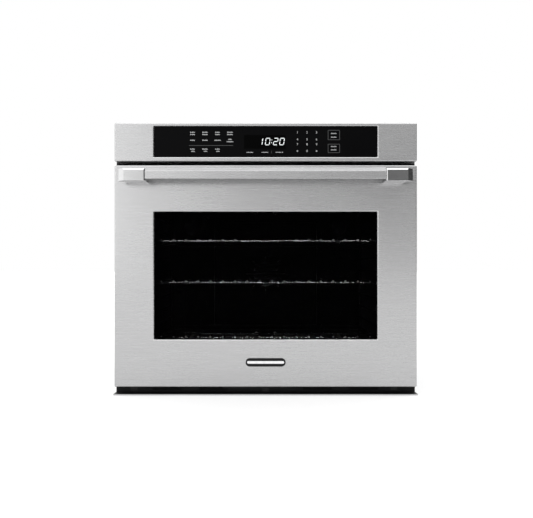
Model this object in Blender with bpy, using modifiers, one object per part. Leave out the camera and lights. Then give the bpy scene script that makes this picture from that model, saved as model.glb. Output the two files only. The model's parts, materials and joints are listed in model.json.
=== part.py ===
"""Single built-in wall oven, made as an assembly of separate pieces.

Metres, +Z up, the door faces -Y.  The origin is on the underside of the case, midway between the
sides and midway from the front of the handle to the rear panel.  In this file a place is written
as (x, depth, z): depth counts from the face of the kitchen cabinet that the front frame rests on,
negative in front of it and positive inside it.  Left and right are a cook's, facing the door.
"""
import math

import bmesh
import bpy
from mathutils import Matrix, Vector

# ---- driving dimensions -------------------------------------------------------------------------
FRONT_HALF = 0.3795          # half the width of the door and the control panel
HEIGHT = 0.684               # underside of the case to the top of the control panel
CASE_REAR = 0.590            # depth of the rear panel's outside
HANDLE_FRONT = -0.106        # depth of the front of the handle
HANDLE_INNER = 0.293         # distance of a handle post's inner face from the middle
HANDLE_OUTER = 0.3456        # where the post's slanted end cap starts
HANDLE_END = 0.359           # the end cap's outermost face
POST_LOW = 0.5325
POST_HIGH = 0.5622
BADGE = (-0.050, 0.0730, 0.050, 0.0940)           # the plain plate: x, z, x, z
CABINET_Y = -(CASE_REAR + HANDLE_FRONT) / 2     # where the cabinet's face lies along Y

FRAME_HALF = 0.3825          # half the width of the flange that hides the cut-out's edge
CASE_HALF = 0.362            # half the width of the case that goes into the cut-out
CASE_TOP = 0.672
CASE_SHEET = 0.001           # thickness of the case's sheets
CASE_FOLD = 0.012            # height of the rims of the base and the top
CASE_INSET = 0.0015          # how far the base and the top lie inside the sides and the rear
AIR_SLOTS = 24               # in the rear panel
AIR_SLOT_START = -0.300
AIR_SLOT_PITCH = 0.020
AIR_SLOT_WIDTH = 0.006
AIR_SLOT_LOW = 0.615
AIR_SLOT_HIGH = 0.650
INLET = (0.270, 0.590, 0.011)     # conduit inlet: x, z, radius
FLANGE_SCREW_X = 0.3685
FLANGE_SCREWS = (0.15, 0.35, 0.55)
FLANGE_HOLE = 0.0023         # radius of a mounting screw's hole
FRONT_FACE = -0.044          # depth of the front of the door and the control panel
GAP = 0.0003                 # clearance between touching pieces

DOOR_LOW = 0.0218
DOOR_HIGH = 0.578
DOOR_BACK = -0.008           # depth of the door's inner face when it is shut
PANEL_LOW = 0.5875
SKIN = 0.0012                # sheet thickness of the door skin and the control bezel
GLASS_RECESS = 0.0043        # how far the glass lies behind the steel round it

WINDOW = (-0.280, 0.141, 0.280, 0.461)            # opening in the door skin: x, z, x, z
LINER_WINDOW = (-0.288, 0.133, 0.288, 0.469)      # opening in the door's inner panel
CONTROL_WINDOW = (-0.2806, 0.5985, 0.2806, 0.676)

CAVITY_HALF = 0.305
CAVITY_LOW = 0.092
CAVITY_HIGH = 0.512
CAVITY_REAR = 0.482

HINGE_DEPTH = -0.024         # the door's axis
HINGE_Z = 0.035
HINGE_X = 0.338              # middle of a hinge arm's plate
HINGE_HUB = 0.012
CRANK = 0.010 * math.sqrt(0.5)     # the crank pin's offset forward and down from the axis
PIN_RADIUS = 0.003           # crank pin that the rod stands on
ROD_X = 0.347

RACK_HALF = 0.2955
RACK_FRONT = 0.048
RACK_REAR = 0.442
RACK_RAILS = (0.0030, 0.0025, 0.0020)             # radii: outer loop, cross wires, long wires
RACK_WIRES = 18
RACK_PITCH = 0.0324
RACK_HEIGHTS = {"upper_rack": 0.3895, "middle_rack": 0.280, "lower_rack": 0.134}
HAND_HOLD_WIRES = 4          # long wires left short at the front of the upper rack

RUNG_X = 0.298
RUNG_LOW = 0.1282
RUNG_PITCH = 0.0365
RUNG_COUNT = 10
RUNG_RADIUS = 0.0025

BLANKET_HALF = 0.345
BLANKET_LOW = 0.050
BLANKET_TOP = 0.552          # the electrics and the latch stand on it
BLANKET_THICKNESS = 0.0383

BROIL_Z = 0.497
BAKE_Z = 0.106
HEATER_BEND = 0.020
RING_RADIUS = 0.092          # the ring element round the fan
BAFFLE_HALF = 0.165
FAN_BLADES = 8
LAMP_X = 0.240
LAMP_Z = 0.450
PROBE = (-0.190, 0.478)      # x and z of the temperature probe

FAN_Z = 0.300                # height of the convection fan's shaft
BLOWER_DEPTH = 0.345         # depth of the cooling blower's shaft
WHEEL_LOW = 0.562            # underside of the blower wheel
WHEEL_BLADES = 14
LATCH = (0.300, 0.035, 0.5680)
SWITCH_X = -0.330
SWITCH_Z = 0.570

SIDES = (("left", -1), ("right", 1))

# ---- scene set-up -------------------------------------------------------------------------------
for old in list(bpy.data.objects):
    bpy.data.objects.remove(old, do_unlink=True)

PARTS = bpy.data.collections.new("wall_oven")
TOOLS = bpy.data.collections.new("cutters")
bpy.context.scene.collection.children.link(PARTS)
bpy.context.scene.collection.children.link(TOOLS)


def finish(name, colour, roughness, metallic=0.0, alpha=1.0):
    """A Principled material."""
    material = bpy.data.materials.new(name)
    material.use_nodes = True
    shader = material.node_tree.nodes["Principled BSDF"]
    shader.inputs["Base Color"].default_value = (*colour, 1.0)
    shader.inputs["Roughness"].default_value = roughness
    shader.inputs["Metallic"].default_value = metallic
    shader.inputs["Alpha"].default_value = alpha
    return material


STEEL = finish("brushed_stainless", (0.58, 0.58, 0.59), 0.30, 1.0)
GALVANISED = finish("galvanised_sheet", (0.52, 0.54, 0.55), 0.45, 1.0)
ENAMEL = finish("grey_enamel", (0.045, 0.047, 0.052), 0.35)
CHROME = finish("chromed_wire", (0.75, 0.75, 0.76), 0.15, 1.0)
BLACK_GLASS = finish("black_glass", (0.006, 0.006, 0.007), 0.05)
CLEAR_GLASS = finish("tinted_glass", (0.05, 0.05, 0.055), 0.05, 0.0, 0.4)
BLACK_PAINT = finish("black_paint", (0.012, 0.012, 0.013), 0.45)
FIBRE = finish("glass_fibre_blanket", (0.70, 0.66, 0.54), 0.95)
GREEN_BOARD = finish("circuit_board", (0.02, 0.13, 0.06), 0.45)
HEATER = finish("heater_sheath", (0.10, 0.09, 0.085), 0.5, 0.6)
SPRING_STEEL = finish("spring_steel", (0.35, 0.35, 0.36), 0.35, 1.0)
MOULDING = finish("black_moulding", (0.02, 0.02, 0.021), 0.5)
GASKET = finish("woven_gasket", (0.10, 0.10, 0.10), 0.9)


# ---- making shapes ------------------------------------------------------------------------------
def place(x, depth, z):
    """The world point of a place given by its depth."""
    return Vector((x, depth + CABINET_Y, z))


def new_object(name, mesh, material=None, tool=False):
    """Link a mesh as a piece, or as a hidden tool that shapes a piece."""
    item = bpy.data.objects.new(name, mesh)
    if tool:
        item.hide_render = True
        item.display_type = "WIRE"
        TOOLS.objects.link(item)
        return item
    mesh.materials.append(material)
    PARTS.objects.link(item)
    return item


def add_box(bm, low, high):
    """A box between two (x, depth, z) corners."""
    start = place(*low)
    end = place(*high)
    size = Matrix.Diagonal((*(end - start), 1.0))
    bmesh.ops.create_cube(bm, size=1.0, matrix=Matrix.Translation((start + end) / 2) @ size)


def add_rod(bm, start, end, radius, segments):
    """A round bar between two (x, depth, z) places."""
    first = place(*start)
    last = place(*end)
    turn = (last - first).to_track_quat("Z", "Y").to_matrix().to_4x4()
    where = Matrix.Translation((first + last) / 2) @ turn
    bmesh.ops.create_cone(bm, cap_ends=True, segments=segments, radius1=radius, radius2=radius,
                          depth=(last - first).length, matrix=where)


def box(low, high):
    return lambda bm: add_box(bm, low, high)


def rod(start, end, radius, segments=20):
    return lambda bm: add_rod(bm, start, end, radius, segments)


def shape_mesh(name, shapes):
    """One mesh holding the given shapes."""
    bm = bmesh.new()
    for shape in shapes:
        shape(bm)
    mesh = bpy.data.meshes.new(name)
    bm.to_mesh(mesh)
    bm.free()
    return mesh


def round_edges(item, width, segments=2):
    """Round an object's sharp edges."""
    bevel = item.modifiers.new("rounding", "BEVEL")
    bevel.width = width
    bevel.segments = segments
    bevel.limit_method = "ANGLE"
    bevel.angle_limit = math.radians(30)


def boolean(item, tool, operation):
    step = item.modifiers.new(operation.lower(), "BOOLEAN")
    step.operation = operation
    step.object = tool


def cut(item, *shapes):
    """Cut shapes that stand apart from each other out of a piece."""
    boolean(item, new_object(item.name + "_cutter", shape_mesh("cutter", shapes), tool=True), "DIFFERENCE")
    return item


def fuse(item, *shapes, rounding=0.0):
    """Join shapes that stand apart from each other to a piece."""
    tool = new_object(item.name + "_added", shape_mesh("added", shapes), tool=True)
    if rounding:
        round_edges(tool, rounding)
    boolean(item, tool, "UNION")
    return item


def solid(name, material, *shapes, rounding=0.0):
    """A piece from its first shape, with each later shape joined to it."""
    item = new_object(name, shape_mesh(name, shapes[:1]), material)
    if rounding:
        round_edges(item, rounding)
    for shape in shapes[1:]:
        fuse(item, shape, rounding=rounding)
    return item


def smooth(item):
    """Shade the round faces smooth and keep the edges crisp."""
    item.data.shade_smooth()
    item.data.set_sharp_from_angle(angle=math.radians(35))
    return item


def rectangle(x0, z0, x1, z1, radius=0.0, steps=4):
    """The outline of a rectangle, with round corners where a radius is given."""
    if not radius:
        return [(x0, z0), (x1, z0), (x1, z1), (x0, z1)]
    corners = ((x1 - radius, z0 + radius, -90), (x1 - radius, z1 - radius, 0),
               (x0 + radius, z1 - radius, 90), (x0 + radius, z0 + radius, 180))
    points = []
    for x, z, start in corners:
        for step in range(steps + 1):
            angle = math.radians(start + 90 * step / steps)
            points.append((x + radius * math.cos(angle), z + radius * math.sin(angle)))
    return points


def circle(x, z, radius, count=16):
    angles = [math.tau * step / count for step in range(count)]
    return [(x + radius * math.cos(angle), z + radius * math.sin(angle)) for angle in angles]


def curve_mesh(name, splines, matrix=Matrix(), **settings):
    """The welded mesh of a curve, which is closed unless its points say otherwise."""
    curve = bpy.data.curves.new(name, "CURVE")
    for key, value in settings.items():
        setattr(curve, key, value)
    for points, closed in splines:
        spline = curve.splines.new("POLY")
        spline.points.add(len(points) - 1)
        for target, point in zip(spline.points, points):
            target.co = (*point, 0.0, 1.0)[:4] if len(point) == 2 else (*point, 1.0)
        spline.use_cyclic_u = closed
    guide = bpy.data.objects.new(name + "_guide", curve)
    bpy.context.scene.collection.objects.link(guide)
    guide.matrix_world = matrix
    bpy.context.view_layer.update()
    mesh = bpy.data.meshes.new_from_object(guide.evaluated_get(bpy.context.evaluated_depsgraph_get()))
    bpy.data.objects.remove(guide, do_unlink=True)
    bm = bmesh.new()
    bm.from_mesh(mesh)
    bmesh.ops.remove_doubles(bm, verts=bm.verts, dist=0.00002)
    bmesh.ops.transform(bm, matrix=matrix, verts=bm.verts)
    bmesh.ops.recalc_face_normals(bm, faces=bm.faces)
    bm.to_mesh(mesh)
    bm.free()
    return mesh


# Which way a flat outline's own x, y and thickness point: its plane is named by its x and y.
PLANES = {
    "XZ": Matrix(((1, 0, 0, 0), (0, 0, -1, 0), (0, 1, 0, 0), (0, 0, 0, 1))),
    "YZ": Matrix(((0, 0, 1, 0), (1, 0, 0, 0), (0, 1, 0, 0), (0, 0, 0, 1))),
    "XY": Matrix(),
}


def plate_mesh(name, plane, outline, holes, low, high):
    """A flat outline with holes, as thick as from low to high across its plane."""
    middle = (low + high) / 2
    centre = {"XZ": place(0, middle, 0), "YZ": place(middle, 0, 0), "XY": place(0, 0, middle)}[plane]
    splines = [(points, True) for points in [outline, *holes]]
    return curve_mesh(name, splines, Matrix.Translation(centre) @ PLANES[plane], dimensions="2D",
                      fill_mode="BOTH", extrude=(high - low) / 2)


def plate(name, material, plane, outline, holes, low, high):
    return new_object(name, plate_mesh(name, plane, outline, holes, low, high), material)


def cut_outline(item, plane, outline, low, high):
    """Cut a prism with a flat outline out of a piece."""
    mesh = plate_mesh(item.name + "_prism", plane, outline, [], low, high)
    boolean(item, new_object(item.name + "_prism", mesh, tool=True), "DIFFERENCE")


def join_outline(item, plane, outline, low, high, rounding):
    """Join a prism with a flat outline and rounded edges to a piece."""
    mesh = plate_mesh(item.name + "_cap", plane, outline, [], low, high)
    tool = new_object(item.name + "_cap", mesh, tool=True)
    round_edges(tool, rounding)
    boolean(item, tool, "UNION")


def bend(points, radius, steps=3):
    """A path through (x, depth, z) places with its corners rounded."""
    path = [Vector(points[0])]
    for before, corner, after in zip(points, points[1:], points[2:]):
        corner = Vector(corner)
        start = corner + (Vector(before) - corner).normalized() * radius
        end = corner + (Vector(after) - corner).normalized() * radius
        for step in range(steps + 1):
            along = step / steps
            path.append(start.lerp(corner, along).lerp(corner.lerp(end, along), along))
    path.append(Vector(points[-1]))
    return path


def tube_mesh(name, paths, radius, sides=8, closed=False):
    """Round wire along (x, depth, z) paths."""
    splines = [([place(*point) for point in path], closed) for path in paths]
    return curve_mesh(name, splines, dimensions="3D", fill_mode="FULL", bevel_depth=radius,
                      bevel_resolution=(sides - 4) // 2, use_fill_caps=not closed)


def tube(name, material, path, radius, sides=8, closed=False):
    return smooth(new_object(name, tube_mesh(name, [path], radius, sides, closed), material))


def turned(name, material, profile, origin, turn, steps=24):
    """A round piece from its outer profile of (radius, height), listed from the top down."""
    mesh = bpy.data.meshes.new(name)
    edges = [(index, index + 1) for index in range(len(profile) - 1)]
    mesh.from_pydata([(radius, 0.0, height) for radius, height in profile], edges, [])
    item = new_object(name, mesh, material)
    item.location = place(*origin)
    item.rotation_euler = turn
    screw = item.modifiers.new("turning", "SCREW")
    screw.steps = steps
    screw.render_steps = steps
    screw.use_merge_vertices = True
    screw.merge_threshold = 0.00005
    screw.use_smooth_shade = True
    return item


def pan(name, material, low, high, open_side, thickness, radius=0.0, window=None, lip=0.0):
    """A folded sheet box that is open on one side, measured over its outside.

    open_side is a direction such as (0, 1, 0).  A window is an opening in the face opposite the
    open side, with its edges turned in by the lip.
    """
    bm = bmesh.new()
    add_box(bm, low, high)
    opening = Vector(open_side)
    bm.normal_update()
    missing = [face for face in bm.faces if face.normal.dot(opening) > 0.9]
    bmesh.ops.delete(bm, geom=missing, context="FACES")
    if window:
        x0, z0, x1, z1 = window
        for point, normal in (((x0, 0, 0), (1, 0, 0)), ((x1, 0, 0), (1, 0, 0)),
                              ((0, 0, z0), (0, 0, 1)), ((0, 0, z1), (0, 0, 1))):
            face = [item for item in bm.faces if item.normal.dot(opening) < -0.9]
            geometry = face + list(dict.fromkeys(edge for item in face for edge in item.edges))
            geometry += list(dict.fromkeys(vert for item in face for vert in item.verts))
            bmesh.ops.bisect_plane(bm, geom=geometry, dist=1e-6, plane_co=point, plane_no=normal)
            bm.normal_update()
        middle = Vector(((x0 + x1) / 2, 0, (z0 + z1) / 2))
        face = [item for item in bm.faces if item.normal.dot(opening) < -0.9
                and abs(item.calc_center_median().x - middle.x) < 0.01
                and abs(item.calc_center_median().z - middle.z) < 0.01]
        rim = list(face[0].edges)
        bmesh.ops.delete(bm, geom=face, context="FACES_ONLY")
        if lip:
            turned_in = bmesh.ops.extrude_edge_only(bm, edges=rim)["geom"]
            moved = [item for item in turned_in if isinstance(item, bmesh.types.BMVert)]
            bmesh.ops.translate(bm, verts=moved, vec=opening * lip)
    mesh = bpy.data.meshes.new(name)
    bm.to_mesh(mesh)
    bm.free()
    item = new_object(name, mesh, material)
    if radius:
        round_edges(item, radius, 3)
    sheet = item.modifiers.new("sheet", "SOLIDIFY")
    sheet.thickness = thickness
    sheet.offset = -1.0
    sheet.use_even_offset = True
    return item


def seat(item, origin):
    """Put a moving piece's own origin on its joint's axis."""
    where = place(*origin)
    item.data.transform(Matrix.Translation(-where))
    item.location = where
    return item


# ---- case ---------------------------------------------------------------------------------------
def make_case():
    """The sheet case that slides into the cabinet."""
    front = 0.0005
    rear = CASE_REAR - CASE_INSET
    half = CASE_HALF - CASE_INSET
    pan("base_pan", GALVANISED, (-half, front, 0.0), (half, rear, CASE_FOLD), (0, 0, 1), CASE_SHEET)
    pan("top_cover", GALVANISED, (-half, front, CASE_TOP - CASE_FOLD), (half, rear, CASE_TOP),
        (0, 0, -1), CASE_SHEET)
    for side, sign in SIDES:
        low, high = sorted((sign * (CASE_HALF - CASE_SHEET), sign * CASE_HALF))
        solid(side + "_side_panel", GALVANISED, box((low, front, GAP), (high, rear, CASE_TOP - 0.0005)))
    starts = [AIR_SLOT_START + AIR_SLOT_PITCH * index for index in range(AIR_SLOTS)]
    slots = [rectangle(x, AIR_SLOT_LOW, x + AIR_SLOT_WIDTH, AIR_SLOT_HIGH) for x in starts]
    edge = CASE_HALF - 0.0005
    plate("rear_panel", GALVANISED, "XZ", rectangle(-edge, 0.0005, edge, CASE_TOP - 0.0005),
          [circle(*INLET), *slots], CASE_REAR - CASE_SHEET, CASE_REAR)


def make_front_frame():
    """The flange plate that stands on the cabinet's face, with its openings."""
    holes = [rectangle(-CAVITY_HALF, CAVITY_LOW, CAVITY_HALF, CAVITY_HIGH, 0.014),
             rectangle(-0.245, 0.5615, 0.245, 0.5855),
             rectangle(0.285, 0.564, 0.315, 0.576),
             rectangle(0.200, 0.600, 0.260, 0.650, 0.004),
             circle(SWITCH_X, SWITCH_Z, 0.004)]
    for _, sign in SIDES:
        holes.append(rectangle(sign * HINGE_X - 0.008, 0.0220, sign * HINGE_X + 0.008, 0.0490))
        holes += [circle(sign * FLANGE_SCREW_X, z, FLANGE_HOLE, 12) for z in FLANGE_SCREWS]
    plate("front_frame", BLACK_PAINT, "XZ", rectangle(-FRAME_HALF, 0.0005, FRAME_HALF, HEIGHT - 0.0005),
          holes, -0.0015, 0.0)


def make_lower_trim():
    """The black trim under the door: a set-back face with air slots, and a lip coming forward."""
    lip = 0.003
    outline = [(-0.0035, 0.0), (-0.0035, 0.0210), (-0.0050, 0.0210), (-0.0050, lip), (-0.040, lip),
               (-0.040, 0.0)]
    trim = plate("lower_vent_trim", BLACK_PAINT, "YZ", outline, [], -FRAME_HALF, FRAME_HALF)
    cut(trim, *[box((x, -0.006, 0.007), (x + 0.075, -0.003, 0.014)) for x in (-0.29, -0.17, 0.095, 0.215)])


# ---- cavity -------------------------------------------------------------------------------------
def rear_ports():
    """Where heaters, shaft, lamps and probe pass through the cavity's back wall."""
    places = [(0.0, FAN_Z, 0.012), (*PROBE, 0.004)]
    for sign in (-1, 1):
        places += [(sign * 0.03, BROIL_Z, 0.006), (sign * 0.03, BAKE_Z, 0.006),
                   (sign * 0.016, 0.2094, 0.006), (sign * LAMP_X, LAMP_Z, 0.018)]
    return [rod((x, 0.470, z), (x, 0.540, z), radius, 10) for x, z, radius in places]


def make_cavity():
    """The enamelled box that food goes in, and the blanket round it."""
    sheet = 0.0012
    liner = pan("cavity_liner", ENAMEL, (-CAVITY_HALF - sheet, 0.0005, CAVITY_LOW - sheet),
                (CAVITY_HALF + sheet, CAVITY_REAR + sheet, CAVITY_HIGH + sheet), (0, -1, 0), sheet, 0.014)
    cut(liner, *rear_ports())
    blanket = pan("insulation_blanket", FIBRE, (-BLANKET_HALF, 0.0008, BLANKET_LOW),
                  (BLANKET_HALF, 0.522, BLANKET_TOP), (0, -1, 0), BLANKET_THICKNESS)
    cut(blanket, *rear_ports())


def make_ladders():
    """Wire rack guides that hang on the cavity's side walls."""
    levels = [RUNG_LOW + RUNG_PITCH * level for level in range(RUNG_COUNT)]
    for side, sign in SIDES:
        posts = [rod((sign * 0.302, depth, 0.112), (sign * 0.302, depth, 0.472), RUNG_RADIUS, 6)
                 for depth in (0.060, 0.425)]
        ladder = new_object(side + "_rack_ladder", shape_mesh(side, posts), CHROME)
        fuse(ladder, *[rod((sign * RUNG_X, 0.030, z), (sign * RUNG_X, 0.455, z), RUNG_RADIUS, 6)
                       for z in levels])


def make_rack(name, height):
    """A wire rack: an outer loop, two cross wires and long wires lying on them."""
    loop_radius, cross_radius, wire_radius = RACK_RAILS
    loop = [(x, depth, height) for x, depth in
            rectangle(-RACK_HALF, RACK_FRONT, RACK_HALF, RACK_REAR, 0.012, 3)]
    rack = new_object(name, tube_mesh(name, [loop], loop_radius, 6, closed=True), CHROME)
    spacing = (RACK_REAR - RACK_FRONT) / 3
    crossings = [RACK_FRONT + spacing * step for step in (1, 2)]
    fuse(rack, *[rod((-RACK_HALF, depth, height), (RACK_HALF, depth, height), cross_radius, 6)
                 for depth in crossings])
    top = height + loop_radius + wire_radius - 0.0006
    wires = []
    for index in range(RACK_WIRES):
        offset = index - (RACK_WIRES - 1) / 2
        short = name == "upper_rack" and abs(offset) < HAND_HOLD_WIRES / 2
        front = crossings[0] - 0.0015 if short else RACK_FRONT - 0.0015
        x = offset * RACK_PITCH
        wires.append(rod((x, front, top), (x, RACK_REAR + 0.0015, top), wire_radius, 6))
    fuse(rack, *wires)
    return rack


def make_heaters():
    """The sheathed heating elements at the top, at the bottom and round the fan."""
    rear = 0.535
    radius = 0.0035
    top = [(0.03, rear), (0.03, 0.44), (0.24, 0.44), (0.24, 0.06), (0.145, 0.06), (0.145, 0.38),
           (0.05, 0.38), (0.05, 0.06), (-0.05, 0.06), (-0.05, 0.38), (-0.145, 0.38), (-0.145, 0.06),
           (-0.24, 0.06), (-0.24, 0.44), (-0.03, 0.44), (-0.03, rear)]
    tube("broil_element", HEATER, bend([(x, depth, BROIL_Z) for x, depth in top], HEATER_BEND), radius, 6)
    bottom = [(0.03, rear), (0.03, 0.43), (0.23, 0.43), (0.23, 0.07), (0.12, 0.07), (0.12, 0.35),
              (-0.12, 0.35), (-0.12, 0.07), (-0.23, 0.07), (-0.23, 0.43), (-0.03, 0.43), (-0.03, rear)]
    tube("bake_element", HEATER, bend([(x, depth, BAKE_Z) for x, depth in bottom], HEATER_BEND), radius, 6)
    ring = [math.radians(-80 + 340 * step / 24) for step in range(25)]
    path = [(RING_RADIUS * math.cos(angle), 0.4685, FAN_Z + RING_RADIUS * math.sin(angle)) for angle in ring]
    ends = [(path[0][0], rear, path[0][2]), (path[-1][0], rear, path[-1][2])]
    tube("convection_element", HEATER, [ends[0], *path, ends[1]], radius, 6)


def make_rear_fan():
    """The convection fan, its cover inside the cavity, and its motor behind the insulation."""
    cover = pan("fan_baffle", ENAMEL, (-BAFFLE_HALF, 0.452, FAN_Z - BAFFLE_HALF),
                (BAFFLE_HALF, CAVITY_REAR - GAP, FAN_Z + BAFFLE_HALF), (0, 1, 0), 0.0008, 0.008)
    grille = 0.062
    pitch = 0.013
    slots = []
    for row in range(-4, 5):
        z = FAN_Z + row * pitch
        half = math.sqrt(grille ** 2 - (row * pitch) ** 2)
        slots.append(box((-half, 0.450, z - 0.003), (half, 0.455, z + 0.003)))
    cut(cover, *slots)
    shaft = (0.0, 0.458, FAN_Z)
    fan = solid("convection_fan", GALVANISED, rod((0, 0.4745, FAN_Z), (0, 0.4765, FAN_Z), 0.040, 24),
                rod(shaft, (0.0, 0.5255, FAN_Z), 0.005, 12))
    blades = []
    for index in range(FAN_BLADES):
        blades.append(fan_blade(math.tau * index / FAN_BLADES))
    fuse(fan, *blades)
    seat(smooth(fan), (0.0, 0.4745, FAN_Z))
    motor = solid("convection_motor", GALVANISED, rod((0, 0.526, FAN_Z), (0, 0.530, FAN_Z), 0.046, 24),
                  rod((0, 0.529, FAN_Z), (0, 0.574, FAN_Z), 0.036, 24))
    smooth(motor)


def fan_blade(angle):
    """One flat radial blade of the convection fan."""
    def add(bm):
        turn = Matrix.Rotation(angle, 4, "Y") @ Matrix.Translation((0.046, 0.0, 0.0))
        size = Matrix.Diagonal((0.052, 0.016, 0.0014, 1.0))
        bmesh.ops.create_cube(bm, size=1.0,
                              matrix=Matrix.Translation(place(0.0, 0.4675, FAN_Z)) @ turn @ size)
    return add


def make_lamps_and_probe():
    """Two lamp lenses and the temperature probe on the cavity's back wall."""
    dome = [(0.0, 0.014), (0.011, 0.0125), (0.020, 0.0075), (0.0245, 0.0), (0.0, 0.0)]
    for side, sign in SIDES:
        turned("lamp_lens_" + side, CLEAR_GLASS, dome, (sign * LAMP_X, CAVITY_REAR - GAP, LAMP_Z),
               (math.radians(90), 0, 0), 20)
    x, z = PROBE
    probe = solid("temperature_probe", CHROME, rod((x, 0.36, z), (x, 0.53, z), 0.002, 10),
                  rod((x, 0.479, z), (x, CAVITY_REAR - GAP, z), 0.008, 16))
    smooth(probe)


def make_gasket():
    """The seal on the front frame that the door shuts against."""
    outline = rectangle(-0.3165, 0.0805, 0.3165, 0.5235, 0.022)
    tube("door_gasket", GASKET, [(x, -0.00475, z) for x, z in outline], 0.00295, 6, closed=True)


# ---- controls and cooling -----------------------------------------------------------------------
def make_controls():
    """The steel control panel with its touch glass, display and electronics."""
    front = FRONT_FACE + GLASS_RECESS
    pan("control_bezel", STEEL, (-FRONT_HALF, FRONT_FACE, PANEL_LOW), (FRONT_HALF, -0.0023, HEIGHT),
        (0, 1, 0), SKIN, 0.0025, CONTROL_WINDOW, 0.004)
    solid("control_glass", BLACK_GLASS, box((-0.290, front, 0.592), (0.290, front + 0.003, 0.680)))
    solid("display_module", MOULDING, box((-0.057, -0.0364, 0.6187), (0.051, -0.0315, 0.6531)))
    board = solid("control_board", GREEN_BOARD, box((-0.200, -0.0312, 0.602), (0.200, -0.0296, 0.672)))
    for x in (-0.15, 0.02, 0.12):
        fuse(board, box((x, -0.0300, 0.620), (x + 0.018, -0.0275, 0.638)))
    tray = plate("control_tray", GALVANISED, "XZ", rectangle(-0.300, 0.5925, 0.300, 0.6795),
                 [rectangle(0.205, 0.605, 0.255, 0.645, 0.004)], -0.0240, -0.0230)
    posts = [rod((x, -0.0293, z), (x, -0.0235, z), 0.003, 8) for x in (-0.19, 0.19) for z in (0.609, 0.665)]
    fuse(tray, *posts)


def make_top_electrics():
    """Power board and mains junction box on top of the insulation."""
    board = solid("power_board", GREEN_BOARD, box((-0.335, 0.300, 0.5600), (-0.175, 0.500, 0.5616)))
    floor = BLANKET_TOP + GAP
    feet = [rod((x, depth, floor), (x, depth, 0.5605), 0.004, 8)
            for x in (-0.325, -0.185) for depth in (0.31, 0.49)]
    fuse(board, *feet)
    relays = [box((-0.32 + 0.03 * n, 0.40, 0.5610), (-0.30 + 0.03 * n, 0.43, 0.5790)) for n in range(4)]
    fuse(board, box((-0.32, 0.33, 0.5610), (-0.27, 0.375, 0.5980)), *relays)
    case = pan("junction_box", GALVANISED, (0.205, 0.470, floor), (0.335, CASE_REAR - CASE_INSET, 0.640),
               (0, 0, 1), 0.001)
    x, z, radius = INLET
    cut(case, rod((x, 0.580, z), (x, 0.595, z), radius, 16))


def make_blower():
    """The cooling blower on top of the insulation and the duct to the slot over the door."""
    case = pan("blower_housing", GALVANISED, (-0.120, 0.250, 0.5560), (0.120, 0.440, 0.6120),
               (0, -1, 0), 0.0008, 0.006)
    cut(case, rod((0, BLOWER_DEPTH, 0.605), (0, BLOWER_DEPTH, 0.620), 0.056, 24))
    wheel = solid("blower_wheel", GALVANISED,
                  rod((0, BLOWER_DEPTH, WHEEL_LOW), (0, BLOWER_DEPTH, WHEEL_LOW + 0.002), 0.067, 24),
                  rod((0, BLOWER_DEPTH, WHEEL_LOW + 0.001), (0, BLOWER_DEPTH, 0.6141), 0.004, 10))
    fuse(wheel, *[wheel_blade(math.tau * index / WHEEL_BLADES) for index in range(WHEEL_BLADES)])
    seat(smooth(wheel), (0.0, BLOWER_DEPTH, WHEEL_LOW))
    plate("blower_bracket", GALVANISED, "XY",
          rectangle(-0.080, BLOWER_DEPTH - 0.012, 0.080, BLOWER_DEPTH + 0.012, 0.004),
          [circle(0.0, BLOWER_DEPTH, 0.006)], 0.6123, 0.6143)
    motor = rod((0, BLOWER_DEPTH, 0.6146), (0, BLOWER_DEPTH, 0.650), 0.034, 24)
    smooth(solid("blower_motor", GALVANISED, motor))
    make_duct()


def make_duct():
    """The flat duct that widens from the blower to the slot over the door."""
    rear_half = 0.1195
    front_half = 0.2445
    front_low, front_high = 0.562, 0.585
    duct = shape_mesh("vent_duct", [box((-rear_half, 0.0005, 0.5565), (rear_half, 0.2492, 0.6115))])
    bm = bmesh.new()
    bm.from_mesh(duct)
    bm.normal_update()
    ends = [face for face in bm.faces if abs(face.normal.y) > 0.9]
    bmesh.ops.delete(bm, geom=ends, context="FACES_ONLY")
    for vertex in bm.verts:
        if vertex.co.y < CABINET_Y + 0.1:
            vertex.co.x *= front_half / rear_half
            vertex.co.z = front_low if vertex.co.z < 0.58 else front_high
    bm.to_mesh(duct)
    bm.free()
    sheet = new_object("vent_duct", duct, GALVANISED).modifiers.new("sheet", "SOLIDIFY")
    sheet.thickness = 0.0008
    sheet.offset = -1.0


def wheel_blade(angle):
    """One upright blade of the cooling blower's wheel."""
    def add(bm):
        turn = Matrix.Rotation(angle, 4, "Z") @ Matrix.Translation((0.057, 0.0, 0.0))
        slant = Matrix.Rotation(math.radians(35), 4, "Z")
        size = Matrix.Diagonal((0.015, 0.0014, 0.041, 1.0))
        centre = Matrix.Translation(place(0.0, BLOWER_DEPTH, 0.5835))
        bmesh.ops.create_cube(bm, size=1.0, matrix=centre @ turn @ slant @ size)
    return add


# ---- latch, switch and hinges -------------------------------------------------------------------
def make_latch():
    """The motorised door latch: its drive, and the hook that turns on a pin."""
    x, depth, z = LATCH
    solid("latch_housing", GALVANISED,
          box((x - 0.025, 0.003, BLANKET_TOP + GAP), (x + 0.025, 0.062, z - 0.0005)),
          rod((x, depth, 0.5665), (x, depth, z + 0.0050), 0.003, 12))
    outline = [(x - 0.004, -0.020), (x + 0.012, -0.020), (x + 0.012, -0.0145), (x + 0.004, -0.0120)]
    outline += [(x + 0.007 * math.cos(angle), depth + 0.007 * math.sin(angle))
                for angle in [math.radians(-55 + 290 * step / 12) for step in range(13)]]
    hook = plate("latch_hook", SPRING_STEEL, "XY", outline, [circle(x, depth, 0.0034, 12)], z, z + 0.003)
    seat(hook, LATCH)


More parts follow.
